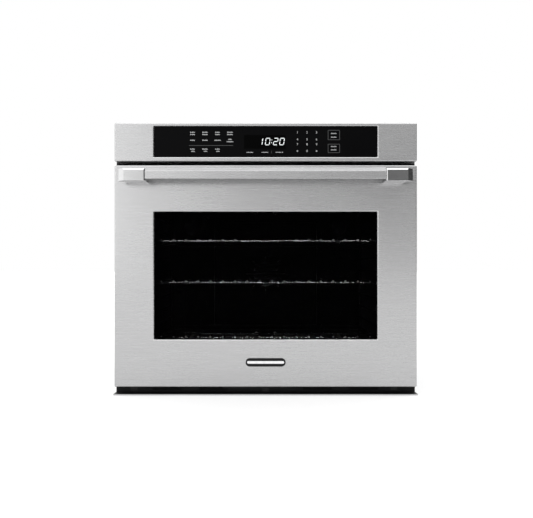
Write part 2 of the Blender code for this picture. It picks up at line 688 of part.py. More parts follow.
def make_switch():
    """The switch that turns the lamps on, and its plunger that the shut door holds in."""
    case = solid("door_switch", MOULDING, box((SWITCH_X - 0.010, 0.003, SWITCH_Z - 0.010),
                                              (SWITCH_X + 0.010, 0.028, SWITCH_Z + 0.010)))
    cut(case, rod((SWITCH_X, 0.001, SWITCH_Z), (SWITCH_X, 0.024, SWITCH_Z), 0.0032, 12))
    plunger = solid("switch_plunger", MOULDING, rod((SWITCH_X, DOOR_BACK + GAP, SWITCH_Z),
                                                    (SWITCH_X, 0.016, SWITCH_Z), 0.0027, 12))
    seat(smooth(plunger), (SWITCH_X, DOOR_BACK + GAP, SWITCH_Z))


def arm_outline():
    """A hinge arm seen from the side: a round hub at the axis and a straight tail to the rear."""
    tail = 0.008
    start = math.asin(tail / HINGE_HUB)
    steps = 14
    hub = [start + (math.tau - 2 * start) * step / steps for step in range(steps + 1)]
    points = [(HINGE_DEPTH + HINGE_HUB * math.cos(angle), HINGE_Z + HINGE_HUB * math.sin(angle))
              for angle in hub]
    return points + [(0.060, HINGE_Z - tail), (0.060, HINGE_Z + tail)]


def make_hinges():
    """Two hinge sets: the arm and its receiver on the case, channel, rod and spring in the door."""
    for side, sign in SIDES:
        low = min(sign * 0.335, sign * 0.341)
        arm = plate("hinge_arm_" + side, SPRING_STEEL, "YZ", arm_outline(), [], low, low + 0.006)
        axis = (HINGE_DEPTH, HINGE_Z)
        crank = (HINGE_DEPTH - CRANK, HINGE_Z - CRANK)
        fuse(arm, rod((sign * 0.3262, *axis), (sign * 0.3578, *axis), 0.0035, 12),
             rod((sign * HINGE_X, *crank), (sign * 0.3520, *crank), PIN_RADIUS, 12))
        x = sign * HINGE_X
        plate("hinge_receiver_" + side, GALVANISED, "XZ", rectangle(x - 0.0095, 0.0215, x + 0.0095, 0.0495),
              [rectangle(x - 0.008, 0.0230, x + 0.008, 0.0480)], 0.0005, 0.070)
        make_door_spring_set(side, sign)


def make_door_spring_set(side, sign):
    """The channel in the door's edge, and the rod and spring that balance the door."""
    inner = sign * 0.328
    outer = sign * 0.356
    wall = sign * 0.0015
    back = -0.040
    open_edge = -0.016
    outline = [(inner, open_edge), (inner, back), (outer, back), (outer, open_edge),
               (outer - wall, open_edge), (outer - wall, back + 0.0015), (inner + wall, back + 0.0015),
               (inner + wall, open_edge)]
    channel = plate("hinge_channel_" + side, GALVANISED, "XY", outline, [], 0.025, 0.250)
    x = sign * ROD_X
    depth = HINGE_DEPTH - CRANK
    stop_low = 0.1755
    fuse(channel, box((min(inner, outer) + 0.001, back + 0.001, stop_low),
                      (max(inner, outer) - 0.001, -0.018, stop_low + 0.003)))
    cut(channel, rod((x, depth, stop_low - 0.01), (x, depth, stop_low + 0.01), 0.0031, 12))
    cut(channel, rod((sign * 0.320, HINGE_DEPTH, HINGE_Z), (sign * 0.362, HINGE_DEPTH, HINGE_Z), 0.004, 16))
    foot = HINGE_Z - CRANK + PIN_RADIUS + 0.0005
    collar = 0.0555
    rod_piece = solid("hinge_rod_" + side, SPRING_STEEL, rod((x, depth, foot), (x, depth, 0.190), 0.0025, 10),
                      rod((x, depth, collar), (x, depth, collar + 0.0025), 0.0055, 12))
    seat(smooth(rod_piece), (x, depth, foot))
    low = collar + 0.0025 + 0.0012
    high = stop_low - 0.0012
    turns = 7
    steps = turns * 6
    helix = []
    for step in range(steps + 1):
        angle = math.tau * turns * step / steps
        helix.append((x + 0.0044 * math.cos(angle), depth + 0.0044 * math.sin(angle),
                      low + (high - low) * step / steps))
    tube("hinge_spring_" + side, SPRING_STEEL, helix, 0.0008, 6)


# ---- door ---------------------------------------------------------------------------------------
def hinge_slots(front, top):
    """Room in the door's lower edge for the two hinge arms."""
    return [box((sign * HINGE_X - 0.007, front, 0.020), (sign * HINGE_X + 0.007, -0.005, top))
            for _, sign in SIDES]


def make_door():
    """The drop-down door: steel skin, three panes, insulation and inner panel."""
    skin = pan("door_skin", STEEL, (-FRONT_HALF, FRONT_FACE, DOOR_LOW),
               (FRONT_HALF, DOOR_BACK - 0.0015, DOOR_HIGH), (0, 1, 0), SKIN, 0.003, WINDOW, 0.004)
    cut(skin, *hinge_slots(-0.0385, 0.0245))
    pane = FRONT_FACE + GLASS_RECESS
    solid("outer_door_glass", BLACK_GLASS, box((-0.300, pane, 0.123), (0.300, pane + 0.004, 0.479)))
    solid("middle_door_glass", CLEAR_GLASS, box((-0.298, -0.028, 0.123), (0.298, -0.024, 0.479)))
    solid("inner_door_glass", CLEAR_GLASS, box((-0.298, -0.0135, 0.123), (0.298, -0.0093, 0.479)))
    plate("door_insulation", FIBRE, "XZ", rectangle(-0.322, 0.056, 0.322, 0.556),
          [rectangle(-0.302, 0.119, 0.302, 0.483)], -0.034, -0.0145)
    edge = FRONT_HALF - SKIN - 0.0005
    liner = pan("door_liner", ENAMEL, (-edge, -0.020, DOOR_LOW + 0.0018),
                (edge, DOOR_BACK, DOOR_HIGH - 0.0018), (0, -1, 0), 0.001, 0.002)
    cut_outline(liner, "XZ", rectangle(*LINER_WINDOW, 0.010), -0.012, -0.005)
    cut(liner, *hinge_slots(-0.025, 0.0485), box((0.285, -0.012, 0.562), (0.320, -0.005, 0.574)))


def make_handle():
    """The bar handle between two posts, and a plain plate low on the door."""
    profile = [(-0.1045, 0.5372), (-0.1045, 0.5554), (-0.0940, 0.5658), (-0.0830, 0.5658),
               (-0.0795, 0.5625), (-0.0795, 0.5480), (-0.0960, 0.5365), (-0.1038, 0.5365)]
    plate("handle_bar", STEEL, "YZ", profile, [], GAP - HANDLE_INNER, HANDLE_INNER - GAP)
    ahead = HANDLE_FRONT - 0.001
    above = POST_HIGH + 0.001
    slope = [(ahead, above - 0.007), (ahead + 0.004, above), (ahead, above)]
    for side, sign in SIDES:
        inner, outer, end = (sign * value for value in (HANDLE_INNER, HANDLE_OUTER, HANDLE_END))
        low, high = sorted((inner, outer))
        post = solid("handle_post_" + side, STEEL,
                     box((low, HANDLE_FRONT, POST_LOW), (high, FRONT_FACE - GAP, POST_HIGH)), rounding=0.002)
        cut_outline(post, "YZ", slope, low - 0.001, high + 0.001)
        cap = [(outer - sign * 0.004, -0.1040), (outer, -0.1040), (end, -0.0920), (end, -0.0760),
               (outer - sign * 0.004, -0.0760)]
        join_outline(post, "XY", cap, 0.5340, 0.5600, 0.0012)
    plate("badge", BLACK_PAINT, "XZ", rectangle(*BADGE, 0.0100), [], FRONT_FACE - GAP - 0.001,
          FRONT_FACE - GAP)


def hang_door():
    """Parent the door's pieces to an empty on the hinge axis."""
    axis = bpy.data.objects.new("door_axis", None)
    axis.location = place(0.0, HINGE_DEPTH, HINGE_Z)
    PARTS.objects.link(axis)
    names = ["door_skin", "outer_door_glass", "middle_door_glass", "inner_door_glass", "door_insulation",
             "door_liner", "handle_bar", "badge"]
    for side, _ in SIDES:
        names += [piece + side for piece in
                  ("handle_post_", "hinge_channel_", "hinge_rod_", "hinge_spring_")]
    for name in names:
        piece = bpy.data.objects[name]
        piece.parent = axis
        piece.matrix_parent_inverse = Matrix.Translation(-axis.location)


make_case()
make_front_frame()
make_lower_trim()
make_cavity()
make_ladders()
for rack_name, rack_height in RACK_HEIGHTS.items():
    seat(smooth(make_rack(rack_name, rack_height)), (0.0, RACK_FRONT, rack_height))
make_heaters()
make_rear_fan()
make_lamps_and_probe()
make_gasket()
make_controls()
make_top_electrics()
make_blower()
make_latch()
make_switch()
make_hinges()
make_door()
make_handle()
hang_door()
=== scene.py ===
import json
import math

import bmesh
import bpy
from mathutils import Matrix, Vector


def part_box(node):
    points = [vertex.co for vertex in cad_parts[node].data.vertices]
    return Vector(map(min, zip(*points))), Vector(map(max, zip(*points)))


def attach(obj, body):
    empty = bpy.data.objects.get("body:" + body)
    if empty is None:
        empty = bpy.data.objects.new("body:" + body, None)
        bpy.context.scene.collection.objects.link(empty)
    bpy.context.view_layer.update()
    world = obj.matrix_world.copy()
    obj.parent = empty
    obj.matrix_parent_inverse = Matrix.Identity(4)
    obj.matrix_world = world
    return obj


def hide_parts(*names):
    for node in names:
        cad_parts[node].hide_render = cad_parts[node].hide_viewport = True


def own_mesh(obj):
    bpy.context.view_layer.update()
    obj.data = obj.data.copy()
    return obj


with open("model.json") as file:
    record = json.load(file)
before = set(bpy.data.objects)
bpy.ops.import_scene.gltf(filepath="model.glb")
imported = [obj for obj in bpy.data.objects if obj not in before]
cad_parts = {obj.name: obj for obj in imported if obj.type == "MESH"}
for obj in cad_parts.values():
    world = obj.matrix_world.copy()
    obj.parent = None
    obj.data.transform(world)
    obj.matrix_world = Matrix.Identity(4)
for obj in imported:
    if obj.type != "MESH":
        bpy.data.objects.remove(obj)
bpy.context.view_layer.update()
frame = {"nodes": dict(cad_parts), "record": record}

SIDES = (("left", -1), ("right", 1))

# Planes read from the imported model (metres, +Z up, the door faces -Y).
SKIN_LOW, SKIN_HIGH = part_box("door_skin")
BEZEL_LOW, BEZEL_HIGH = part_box("control_bezel")
GLASS_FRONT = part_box("control_glass")[0].y
DOOR_FRONT = SKIN_LOW.y
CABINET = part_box("front_frame")[1].y

# Openings are (x0, z0, x1, z1); the case's sizes are those of its solids.
DOOR_WINDOW = (-0.280, 0.141, 0.280, 0.461)
CONTROL_WINDOW = (-0.2806, 0.5985, 0.2806, 0.676)
SHEET = 0.0012
LIP = 0.004
CASE_SIDE = 0.362
CASE_TOP = 0.672
CASE_DEPTH = 0.590
HINGE_X = 0.338
CONDUIT_X, CONDUIT_Z = 0.270, 0.590
FAN_Z = 0.300

# The racks: height of each outer loop, and the wires on top of it.
RACK_HEIGHTS = {"upper": 0.3895, "middle": 0.280, "lower": 0.134}
LONG_WIRES = 18
WIRE_PITCH = 0.0324

# The heaters' heights, the depth at which they leave the cavity, and their radius.
BROIL_Z, BAKE_Z, HEATER_END, HEATER_RADIUS = 0.497, 0.106, 0.535, 0.0035

# Brightness of the studio's front wall from the far left (0) to the far right (1), then of the rest.
FRONT_WALL = ((0.0, 1.6), (0.25, 1.8), (0.33, 3.4), (0.36, 2.6), (0.395, 1.2), (0.44, 0.88),
              (0.50, 0.58), (0.56, 0.48), (0.60, 0.74), (0.65, 1.2), (0.71, 0.55), (0.76, 0.14),
              (1.0, 0.08))
DARK_CORNER, CORNER_LEVEL = (0.186, -0.974, 0.130), 0.16
REAR_LEFT, REAR_RIGHT = 1.35, 0.55
UPPER_WALL, CEILING, BACKDROP = 2.6, 1.2, 1.0


# ---- camera, floor and light ----
def make_camera():
    """Level with the window's middle, straight at the door."""
    data = bpy.data.cameras.new("camera")
    data.lens = 47.14
    data.sensor_width = 36.0
    data.shift_x = 0.0016
    data.shift_y = 0.0139
    camera = bpy.data.objects.new("camera", data)
    camera.location = (0.0, DOOR_FRONT - 1.75, 0.324)
    camera.rotation_euler = (math.radians(90), 0.0, 0.0)
    bpy.context.scene.collection.objects.link(camera)
    bpy.context.scene.camera = camera


def make_oven_lamp():
    """A dim strip at the cavity's mouth that shines down on the racks."""
    data = bpy.data.lights.new("oven_lamp", "AREA")
    data.shape = "RECTANGLE"
    data.size = 0.60
    data.size_y = 0.010
    data.energy = 0.033
    data.spread = math.radians(40)
    place = Vector((0.0, CABINET + 0.014, 0.504))
    target = Vector((0.0, CABINET + 0.050, 0.20))
    lamp = bpy.data.objects.new("oven_lamp", data)
    lamp.location = place
    lamp.rotation_euler = (target - place).to_track_quat("-Z", "Y").to_euler()
    bpy.context.scene.collection.objects.link(lamp)


def make_world():
    """Pale studio walls, bright at the oven's left front, dimmer at its right, seen as plain white."""
    world = bpy.data.worlds.new("studio")
    bpy.context.scene.world = world
    world.use_nodes = True
    tree = world.node_tree
    direction = tree.nodes.new("ShaderNodeTexCoord").outputs["Generated"]
    split = tree.nodes.new("ShaderNodeSeparateXYZ")
    tree.links.new(direction, split.inputs[0])

    def remap(value, low, high, start=0.0, end=1.0):
        node = tree.nodes.new("ShaderNodeMapRange")
        node.inputs["From Min"].default_value = low
        node.inputs["From Max"].default_value = high
        node.inputs["To Min"].default_value = start
        node.inputs["To Max"].default_value = end
        tree.links.new(value, node.inputs["Value"])
        return node

    def ease(value, low, high):
        node = remap(value, low, high)
        node.interpolation_type = "SMOOTHSTEP"
        return node.outputs["Result"]

    def over(amount, under, level):
        node = tree.nodes.new("ShaderNodeMix")
        node.data_type = "FLOAT"
        tree.links.new(amount, node.inputs[0])
        tree.links.new(under, node.inputs[2])
        if isinstance(level, float):
            node.inputs[3].default_value = level
        else:
            tree.links.new(level, node.inputs[3])
        return node.outputs[0]

    ramp = tree.nodes.new("ShaderNodeValToRGB")
    for index, (place, level) in enumerate(FRONT_WALL):
        stops = ramp.color_ramp.elements
        stop = stops[index] if index < 2 else stops.new(place)
        stop.position = place
        stop.color = (level, level, level, 1.0)
    tree.links.new(remap(split.outputs["X"], -1.0, 1.0).outputs["Result"], ramp.inputs["Fac"])
    aim = tree.nodes.new("ShaderNodeVectorMath")
    aim.operation = "DOT_PRODUCT"
    aim.inputs[1].default_value = DARK_CORNER
    tree.links.new(direction, aim.inputs[0])
    rear = remap(split.outputs["X"], -1.0, 1.0, REAR_LEFT, REAR_RIGHT).outputs["Result"]
    wall = over(ease(aim.outputs["Value"], 0.9930, 0.9985), ramp.outputs["Color"], CORNER_LEVEL)
    wall = over(ease(split.outputs["Y"], 0.12, 0.60), wall, rear)
    wall = over(ease(split.outputs["Z"], 0.30, 0.58), wall, UPPER_WALL)
    wall = over(ease(split.outputs["Z"], 0.90, 0.98), wall, CEILING)
    wall = over(tree.nodes.new("ShaderNodeLightPath").outputs["Is Camera Ray"], wall, BACKDROP)
    tree.links.new(wall, tree.nodes["Background"].inputs["Color"])
    tree.nodes["Background"].inputs["Strength"].default_value = 1.0


def make_stage():
    scene = bpy.context.scene
    scene.view_settings.view_transform = "Standard"
    make_world()
    make_oven_lamp()
    mesh = bpy.data.meshes.new("floor")
    bm = bmesh.new()
    bmesh.ops.create_grid(bm, x_segments=8, y_segments=8, size=40.0)
    bm.to_mesh(mesh)
    bm.free()
    floor = bpy.data.objects.new("floor", mesh)
    floor.location = (0.0, 0.0, -0.0002)
    scene.collection.objects.link(floor)
    surface = Surface("pale_floor", (0.33, 0.33, 0.33), 0.9)
    surface.vary("Base Color", surface.noise(1.5), (0.32, 0.32, 0.32), (0.34, 0.34, 0.34))
    surface.glow((1.0, 1.0, 1.0), 0.50)
    mesh.materials.append(surface.material)


# ---- surfaces ----
class Surface:
    """A Principled material with its texture nodes; sockets that are constant are set directly."""

    def __init__(self, name, colour, roughness, metallic=0.0, **sockets):
        self.material = bpy.data.materials.new(name)
        self.material.use_nodes = True
        self.tree = self.material.node_tree
        self.shader = self.tree.nodes["Principled BSDF"]
        self.shader.inputs["Base Color"].default_value = (*colour, 1.0)
        self.shader.inputs["Roughness"].default_value = roughness
        self.shader.inputs["Metallic"].default_value = metallic
        for key, value in sockets.items():
            self.shader.inputs[key.replace("_", " ")].default_value = value
        self.coords = self.tree.nodes.new("ShaderNodeTexCoord").outputs["Object"]

    def mapped(self, scale, rotation=(0, 0, 0)):
        """Object coordinates scaled by one number or by three."""
        mapping = self.tree.nodes.new("ShaderNodeMapping")
        mapping.inputs["Scale"].default_value = scale if isinstance(scale, tuple) else (scale,) * 3
        mapping.inputs["Rotation"].default_value = rotation
        self.tree.links.new(self.coords, mapping.inputs["Vector"])
        return mapping.outputs["Vector"]

    def noise(self, scale, detail=2.0):
        node = self.tree.nodes.new("ShaderNodeTexNoise")
        node.inputs["Scale"].default_value = 1.0
        node.inputs["Detail"].default_value = detail
        self.tree.links.new(self.mapped(scale), node.inputs["Vector"])
        return node.outputs["Fac"]

    def cells(self, scale, output="Distance", feature="F1", metric="EUCLIDEAN"):
        node = self.tree.nodes.new("ShaderNodeTexVoronoi")
        node.feature = feature
        node.distance = metric
        node.inputs["Scale"].default_value = 1.0
        self.tree.links.new(self.mapped(scale), node.inputs["Vector"])
        return node.outputs[output]

    def waves(self, scale, rotation=(0, 0, 0), rings=False):
        """Diagonal bands, or rings about Y."""
        node = self.tree.nodes.new("ShaderNodeTexWave")
        if rings:
            node.wave_type = "RINGS"
            node.rings_direction = "Y"
        else:
            node.bands_direction = "DIAGONAL"
        node.inputs["Scale"].default_value = scale
        self.tree.links.new(self.mapped(1.0, rotation), node.inputs["Vector"])
        return node.outputs["Fac"]

    def curve(self, value, low, high, start=0.0, end=1.0):
        """Map value from low..high to start..end, held at both ends."""
        node = self.tree.nodes.new("ShaderNodeMapRange")
        node.inputs["From Min"].default_value = low
        node.inputs["From Max"].default_value = high
        node.inputs["To Min"].default_value = start
        node.inputs["To Max"].default_value = end
        self.tree.links.new(value, node.inputs["Value"])
        return node.outputs["Result"]

    def math(self, operation, first, second):
        node = self.tree.nodes.new("ShaderNodeMath")
        node.operation = operation
        for socket, value in zip(node.inputs, (first, second)):
            if isinstance(value, (int, float)):
                socket.default_value = value
            else:
                self.tree.links.new(value, socket)
        return node.outputs[0]

    def blend(self, amount, first, second):
        """A colour between two."""
        node = self.tree.nodes.new("ShaderNodeMix")
        node.data_type = "RGBA"
        self.tree.links.new(amount, node.inputs[0])
        node.inputs[6].default_value = (*first, 1.0)
        node.inputs[7].default_value = (*second, 1.0)
        return node.outputs[2]

    def vary(self, socket, amount, low, high):
        """Drive a socket between two values or two colours."""
        if isinstance(low, tuple):
            result = self.blend(amount, low, high)
        else:
            result = self.curve(amount, 0.0, 1.0, low, high)
        self.tree.links.new(result, self.shader.inputs[socket])

    def bump(self, height, strength, distance=0.0005):
        node = self.tree.nodes.new("ShaderNodeBump")
        node.inputs["Strength"].default_value = strength
        node.inputs["Distance"].default_value = distance
        self.tree.links.new(height, node.inputs["Height"])
        self.tree.links.new(node.outputs["Normal"], self.shader.inputs["Normal"])

    def glow(self, colour, strength):
        self.shader.inputs["Emission Color"].default_value = (*colour, 1.0)
        self.shader.inputs["Emission Strength"].default_value = strength


def mottled(name, colour, roughness, metallic, pattern, tones, rough=None, bump=None, **sockets):
    """A surface whose colour, roughness and relief all follow one noise, given as (scale, detail)."""
    surface = Surface(name, colour, roughness, metallic, **sockets)
    noise = surface.noise(*pattern)
    surface.vary("Base Color", noise, *tones)
    if rough:
        surface.vary("Roughness", noise, *rough)
    if bump:
        surface.bump(noise, *bump)
    return surface


def brushed_steel(name, low, high, roughness, anisotropy=0.75, metallic=1.0):
    """Stainless sheet brushed from side to side."""
    surface = Surface(name, high, roughness, metallic, Anisotropic=anisotropy)
    tangent = surface.tree.nodes.new("ShaderNodeTangent")
    tangent.direction_type = "RADIAL"
    tangent.axis = "Z"
    surface.tree.links.new(tangent.outputs[0], surface.shader.inputs["Tangent"])
    grain = surface.math("ADD", surface.math("MULTIPLY", surface.noise((30.0, 60.0, 1700.0), 4.0), 0.5),
                         surface.math("MULTIPLY", surface.noise((11.0, 60.0, 330.0), 3.0), 0.5))
    streaks = surface.curve(grain, 0.25, 0.75)
    surface.vary("Base Color", streaks, low, high)
    handled = surface.noise((7.0, 7.0, 5.0), 2.0)
    rough = surface.math("ADD", surface.curve(grain, 0.3, 0.7, -0.015, 0.015),
                         surface.curve(handled, 0.3, 0.7, roughness - 0.01, roughness + 0.01))
    surface.tree.links.new(rough, surface.shader.inputs["Roughness"])
    surface.bump(grain, 0.03, 0.0001)
    return surface.material


def galvanised():
    """Zinc-coated sheet with its frosty crystals."""
    surface = Surface("galvanised_steel", (0.36, 0.37, 0.375), 0.42, 1.0)
    crystal = surface.cells(150.0, "Color")
    grey = surface.tree.nodes.new("ShaderNodeRGBToBW")
    surface.tree.links.new(crystal, grey.inputs[0])
    cloud = surface.noise(14.0, 3.0)
    tone = surface.math("ADD", surface.math("MULTIPLY", grey.outputs[0], 0.55),
                        surface.math("MULTIPLY", cloud, 0.45))
    surface.vary("Base Color", surface.curve(tone, 0.25, 0.75), (0.31, 0.32, 0.325), (0.42, 0.43, 0.435))
    surface.vary("Roughness", grey.outputs[0], 0.36, 0.48)
    surface.bump(surface.noise(220.0, 3.0), 0.10, 0.0002)
    return surface.material


def enamel():
    """Near-black vitreous enamel with fine pale specks."""
    surface = Surface("speckled_enamel", (0.010, 0.010, 0.012), 0.28, 0.0, Specular_IOR_Level=0.12)
    specks = surface.cells(420.0)
    size = surface.noise(900.0, 1.0)
    spread = surface.math("ADD", specks, surface.math("MULTIPLY", size, 0.25))
    dots = surface.curve(spread, 0.21, 0.26, 1.0, 0.0)
    surface.vary("Base Color", dots, (0.008, 0.008, 0.010), (0.16, 0.165, 0.18))
    ripple = surface.noise(60.0, 2.0)
    surface.vary("Roughness", ripple, 0.24, 0.36)
    surface.bump(ripple, 0.12, 0.0006)
    return surface.material


def chrome_wire():
    """Bright plating with slight cloudiness."""
    surface = Surface("chromed_wire", (0.78, 0.78, 0.79), 0.10, 1.0)
    cloud = surface.noise(90.0, 3.0)
    surface.vary("Base Color", cloud, (0.66, 0.66, 0.67), (0.88, 0.88, 0.89))
    surface.vary("Roughness", cloud, 0.07, 0.12)
    surface.bump(surface.noise(260.0, 2.0), 0.02, 0.0001)
    return surface.material


def satin_tips_painted_glint():
    """The dull ground ends of the rack wires, coloured a little brighter than the chrome as a partly
    painted highlight so their glints show as dots.
    """
    return mottled("ground_wire_ends_painted_glint", (0.85, 0.85, 0.86), 0.45, 1.0, (2400.0, 2.0),
                   ((0.72, 0.72, 0.73), (0.93, 0.93, 0.94)), (0.38, 0.52)).material


def black_glass(name, alpha=1.0, specular=0.03, tint=(0.0022, 0.0022, 0.0024)):
    """Low-glare dark glass; a tinted pane lets the inside show."""
    surface = Surface(name, tint, 0.05, 0.0, Alpha=alpha, Specular_IOR_Level=specular)
    wiped = surface.noise((9.0, 9.0, 14.0), 3.0)
    surface.vary("Roughness", wiped, 0.03, 0.09)
    surface.vary("Base Color", wiped, tint, tuple(value * 1.25 for value in tint))
    return surface.material


def black_paint(name, colour=(0.005, 0.005, 0.0055), roughness=0.42):
    """Dark paint with an orange-peel skin."""
    return mottled(name, colour, roughness, 0.0, (420.0, 2.0),
                   (colour, tuple(value * 1.5 for value in colour)),
                   (roughness - 0.07, roughness + 0.07), (0.15, 0.0002), Specular_IOR_Level=0.14).material


def fibre():
    """Yellow-white glass wool."""
    surface = Surface("glass_wool", (0.7, 0.66, 0.54), 0.95, 0.0, Sheen_Weight=0.3)
    tufts = surface.noise(60.0, 6.0)
    strands = surface.noise((900.0, 160.0, 160.0), 3.0)
    mixed = surface.math("MULTIPLY", tufts, surface.curve(strands, 0.2, 0.8, 0.7, 1.3))
    surface.vary("Base Color", surface.curve(mixed, 0.3, 0.7), (0.50, 0.45, 0.30), (0.83, 0.80, 0.68))
    surface.bump(mixed, 0.8, 0.003)
    return surface.material


def circuit_board():
    """Green solder mask with paler tracks under it."""
    surface = Surface("circuit_board", (0.01, 0.10, 0.045), 0.35, Coat_Weight=0.4, Coat_Roughness=0.2)
    edge = surface.cells(110.0, feature="DISTANCE_TO_EDGE", metric="MANHATTAN")
    tracks = surface.curve(edge, 0.05, 0.08, 1.0, 0.0)
    surface.vary("Base Color", tracks, (0.006, 0.075, 0.032), (0.05, 0.24, 0.09))
    surface.vary("Roughness", tracks, 0.38, 0.28)
    surface.bump(tracks, 0.3, 0.0001)
    return surface.material


def heater_sheath():
    """Heat-darkened element sheath."""
    return mottled("heater_sheath", (0.09, 0.08, 0.075), 0.5, 0.7, (120.0, 5.0),
                   ((0.05, 0.045, 0.042), (0.16, 0.14, 0.125)), (0.4, 0.65), (0.25, 0.0002)).material


def spring_steel():
    """Dark steel under a film of oil."""
    return mottled("oiled_steel", (0.25, 0.25, 0.26), 0.35, 1.0, ((60.0, 60.0, 240.0), 4.0),
                   ((0.16, 0.155, 0.15), (0.36, 0.36, 0.37)), (0.25, 0.45), (0.12, 0.0002)).material


def moulding():
    """Black plastic with a spark-eroded grain."""
    return mottled("black_moulding", (0.018, 0.018, 0.019), 0.5, 0.0, (1500.0, 1.0),
                   ((0.014, 0.014, 0.015), (0.026, 0.026, 0.027)), (0.42, 0.6), (0.25, 0.0001)).material


def woven_seal():
    """Braided glass-fibre tube."""
    surface = Surface("braided_seal", (0.09, 0.09, 0.09), 0.9)
    one = surface.waves(420.0)
    other = surface.waves(420.0, (0, 0, math.radians(90)))
    weave = surface.math("MAXIMUM", one, other)
    surface.vary("Base Color", weave, (0.03, 0.03, 0.03), (0.16, 0.16, 0.155))
    surface.bump(weave, 0.7, 0.0006)
    return surface.material


def lamp_glass():
    """Pressed lamp lens with rings."""
    surface = Surface("lamp_lens", (0.75, 0.74, 0.70), 0.25, 0.0, Alpha=0.75)
    rings = surface.waves(160.0, rings=True)
    surface.vary("Base Color", rings, (0.55, 0.54, 0.50), (0.86, 0.85, 0.80))
    surface.bump(rings, 0.4, 0.0005)
    return surface.material


def printed_ink(name, level):
    """Pale print that is backlit a little."""
    surface = mottled(name, (level,) * 3, 0.5, 0.0, (1800.0, 1.0),
                      ((level * 0.85,) * 3, (level * 1.15,) * 3), Specular_IOR_Level=0.1)
    surface.glow((0.9, 0.95, 1.0), level * 0.35)
    return surface.material


def lit_digits():
    """The clock's glowing bars."""
    surface = mottled("lit_digits", (0.6, 0.62, 0.62), 0.5, 0.0, (900.0, 1.0),
                      ((0.5, 0.52, 0.52), (0.7, 0.72, 0.72)))
    surface.glow((0.92, 0.97, 1.0), 0.55)
    return surface.material


# ---- making pieces ----
def own(piece, body, slot, *nodes):
    """Let a piece ride on its body and stand for CAD nodes."""
    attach(piece, body)
    if nodes:
        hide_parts(*nodes)
    return piece


def link(name, data, material):
    data.materials.append(material)
    piece = bpy.data.objects.new(name, data)
    bpy.context.scene.collection.objects.link(piece)
    return piece


def from_bmesh(name, bm, material):
    mesh = bpy.data.meshes.new(name)
    bm.to_mesh(mesh)
    bm.free()
    return link(name, mesh, material)


def add_block(bm, low, high):
    low = Vector(low)
    high = Vector(high)
    place = Matrix.Translation((low + high) / 2) @ Matrix.Diagonal((*(high - low), 1.0))
    return bmesh.ops.create_cube(bm, size=1.0, matrix=place)["verts"]


def soften(piece, width, segments=4, angle=30):
    """Rounded edges with true flat faces between them."""
    bevel = piece.modifiers.new("rounding", "BEVEL")
    bevel.width = width
    bevel.segments = segments
    bevel.limit_method = "ANGLE"
    bevel.angle_limit = math.radians(angle)
    return piece


def shade(piece):
    """Smooth shading that keeps flat faces flat."""
    piece.data.shade_smooth()
    normals = piece.modifiers.new("normals", "WEIGHTED_NORMAL")
    normals.keep_sharp = True
    return piece


def baked(piece):
    """A new mesh of a piece with its modifiers or its curve's thickness worked in."""
    bpy.context.view_layer.update()
    return bpy.data.meshes.new_from_object(piece.evaluated_get(bpy.context.evaluated_depsgraph_get()))


def crisp(mesh, angle):
    """Smooth shading with sharp edges where faces meet at more than the angle."""
    mesh.shade_smooth()
    mesh.set_sharp_from_angle(angle=math.radians(angle))


def settle(piece, sharp=40):
    """Make a piece's modifiers part of its mesh, and mark the edges that stay crisp."""
    mesh = baked(piece)
    piece.modifiers.clear()
    piece.data = mesh
    crisp(mesh, sharp)
    normals = piece.modifiers.new("normals", "WEIGHTED_NORMAL")
    normals.keep_sharp = True
    return piece


def draw_out(bm, outline, along):
    """Make a solid by moving a flat outline along a vector."""
    face = bm.faces.new([bm.verts.new(point) for point in outline])
    grown = bmesh.ops.extrude_face_region(bm, geom=[face])["geom"]
    moved = [item for item in grown if isinstance(item, bmesh.types.BMVert)]
    bmesh.ops.translate(bm, verts=moved, vec=along)


def ring_points(radius, count, centre=(0.0, 0.0)):
    """Points evenly round a circle."""
    return [(centre[0] + radius * math.cos(math.tau * k / count),
             centre[1] + radius * math.sin(math.tau * k / count)) for k in range(count)]


def join_rings(bm, pairs):
    """Faces between pairs of vertex rings of one length."""
    for lower, upper in pairs:
        count = len(lower)
        for k in range(count):
            after = (k + 1) % count
            bm.faces.new((lower[k], lower[after], upper[after], upper[k]))


def carve(piece, boxes, holes=()):
    """Cut boxes, and round holes along Y given as (centre, radius), out of a piece."""
    bm = bmesh.new()
    for low, high in boxes:
        add_block(bm, low, high)
    for centre, radius in holes:
        place = Matrix.Translation(centre) @ Matrix.Rotation(math.radians(90), 4, "X")
        bmesh.ops.create_cone(bm, cap_ends=True, segments=32, radius1=radius, radius2=radius,
                              depth=0.02, matrix=place)
    tool = from_bmesh(piece.name + "_tool", bm, piece.data.materials[0])
    cut = piece.modifiers.new("cut", "BOOLEAN")
    cut.operation = "DIFFERENCE"
    cut.object = tool
    settle(piece)
    bpy.data.objects.remove(tool, do_unlink=True)
    return piece


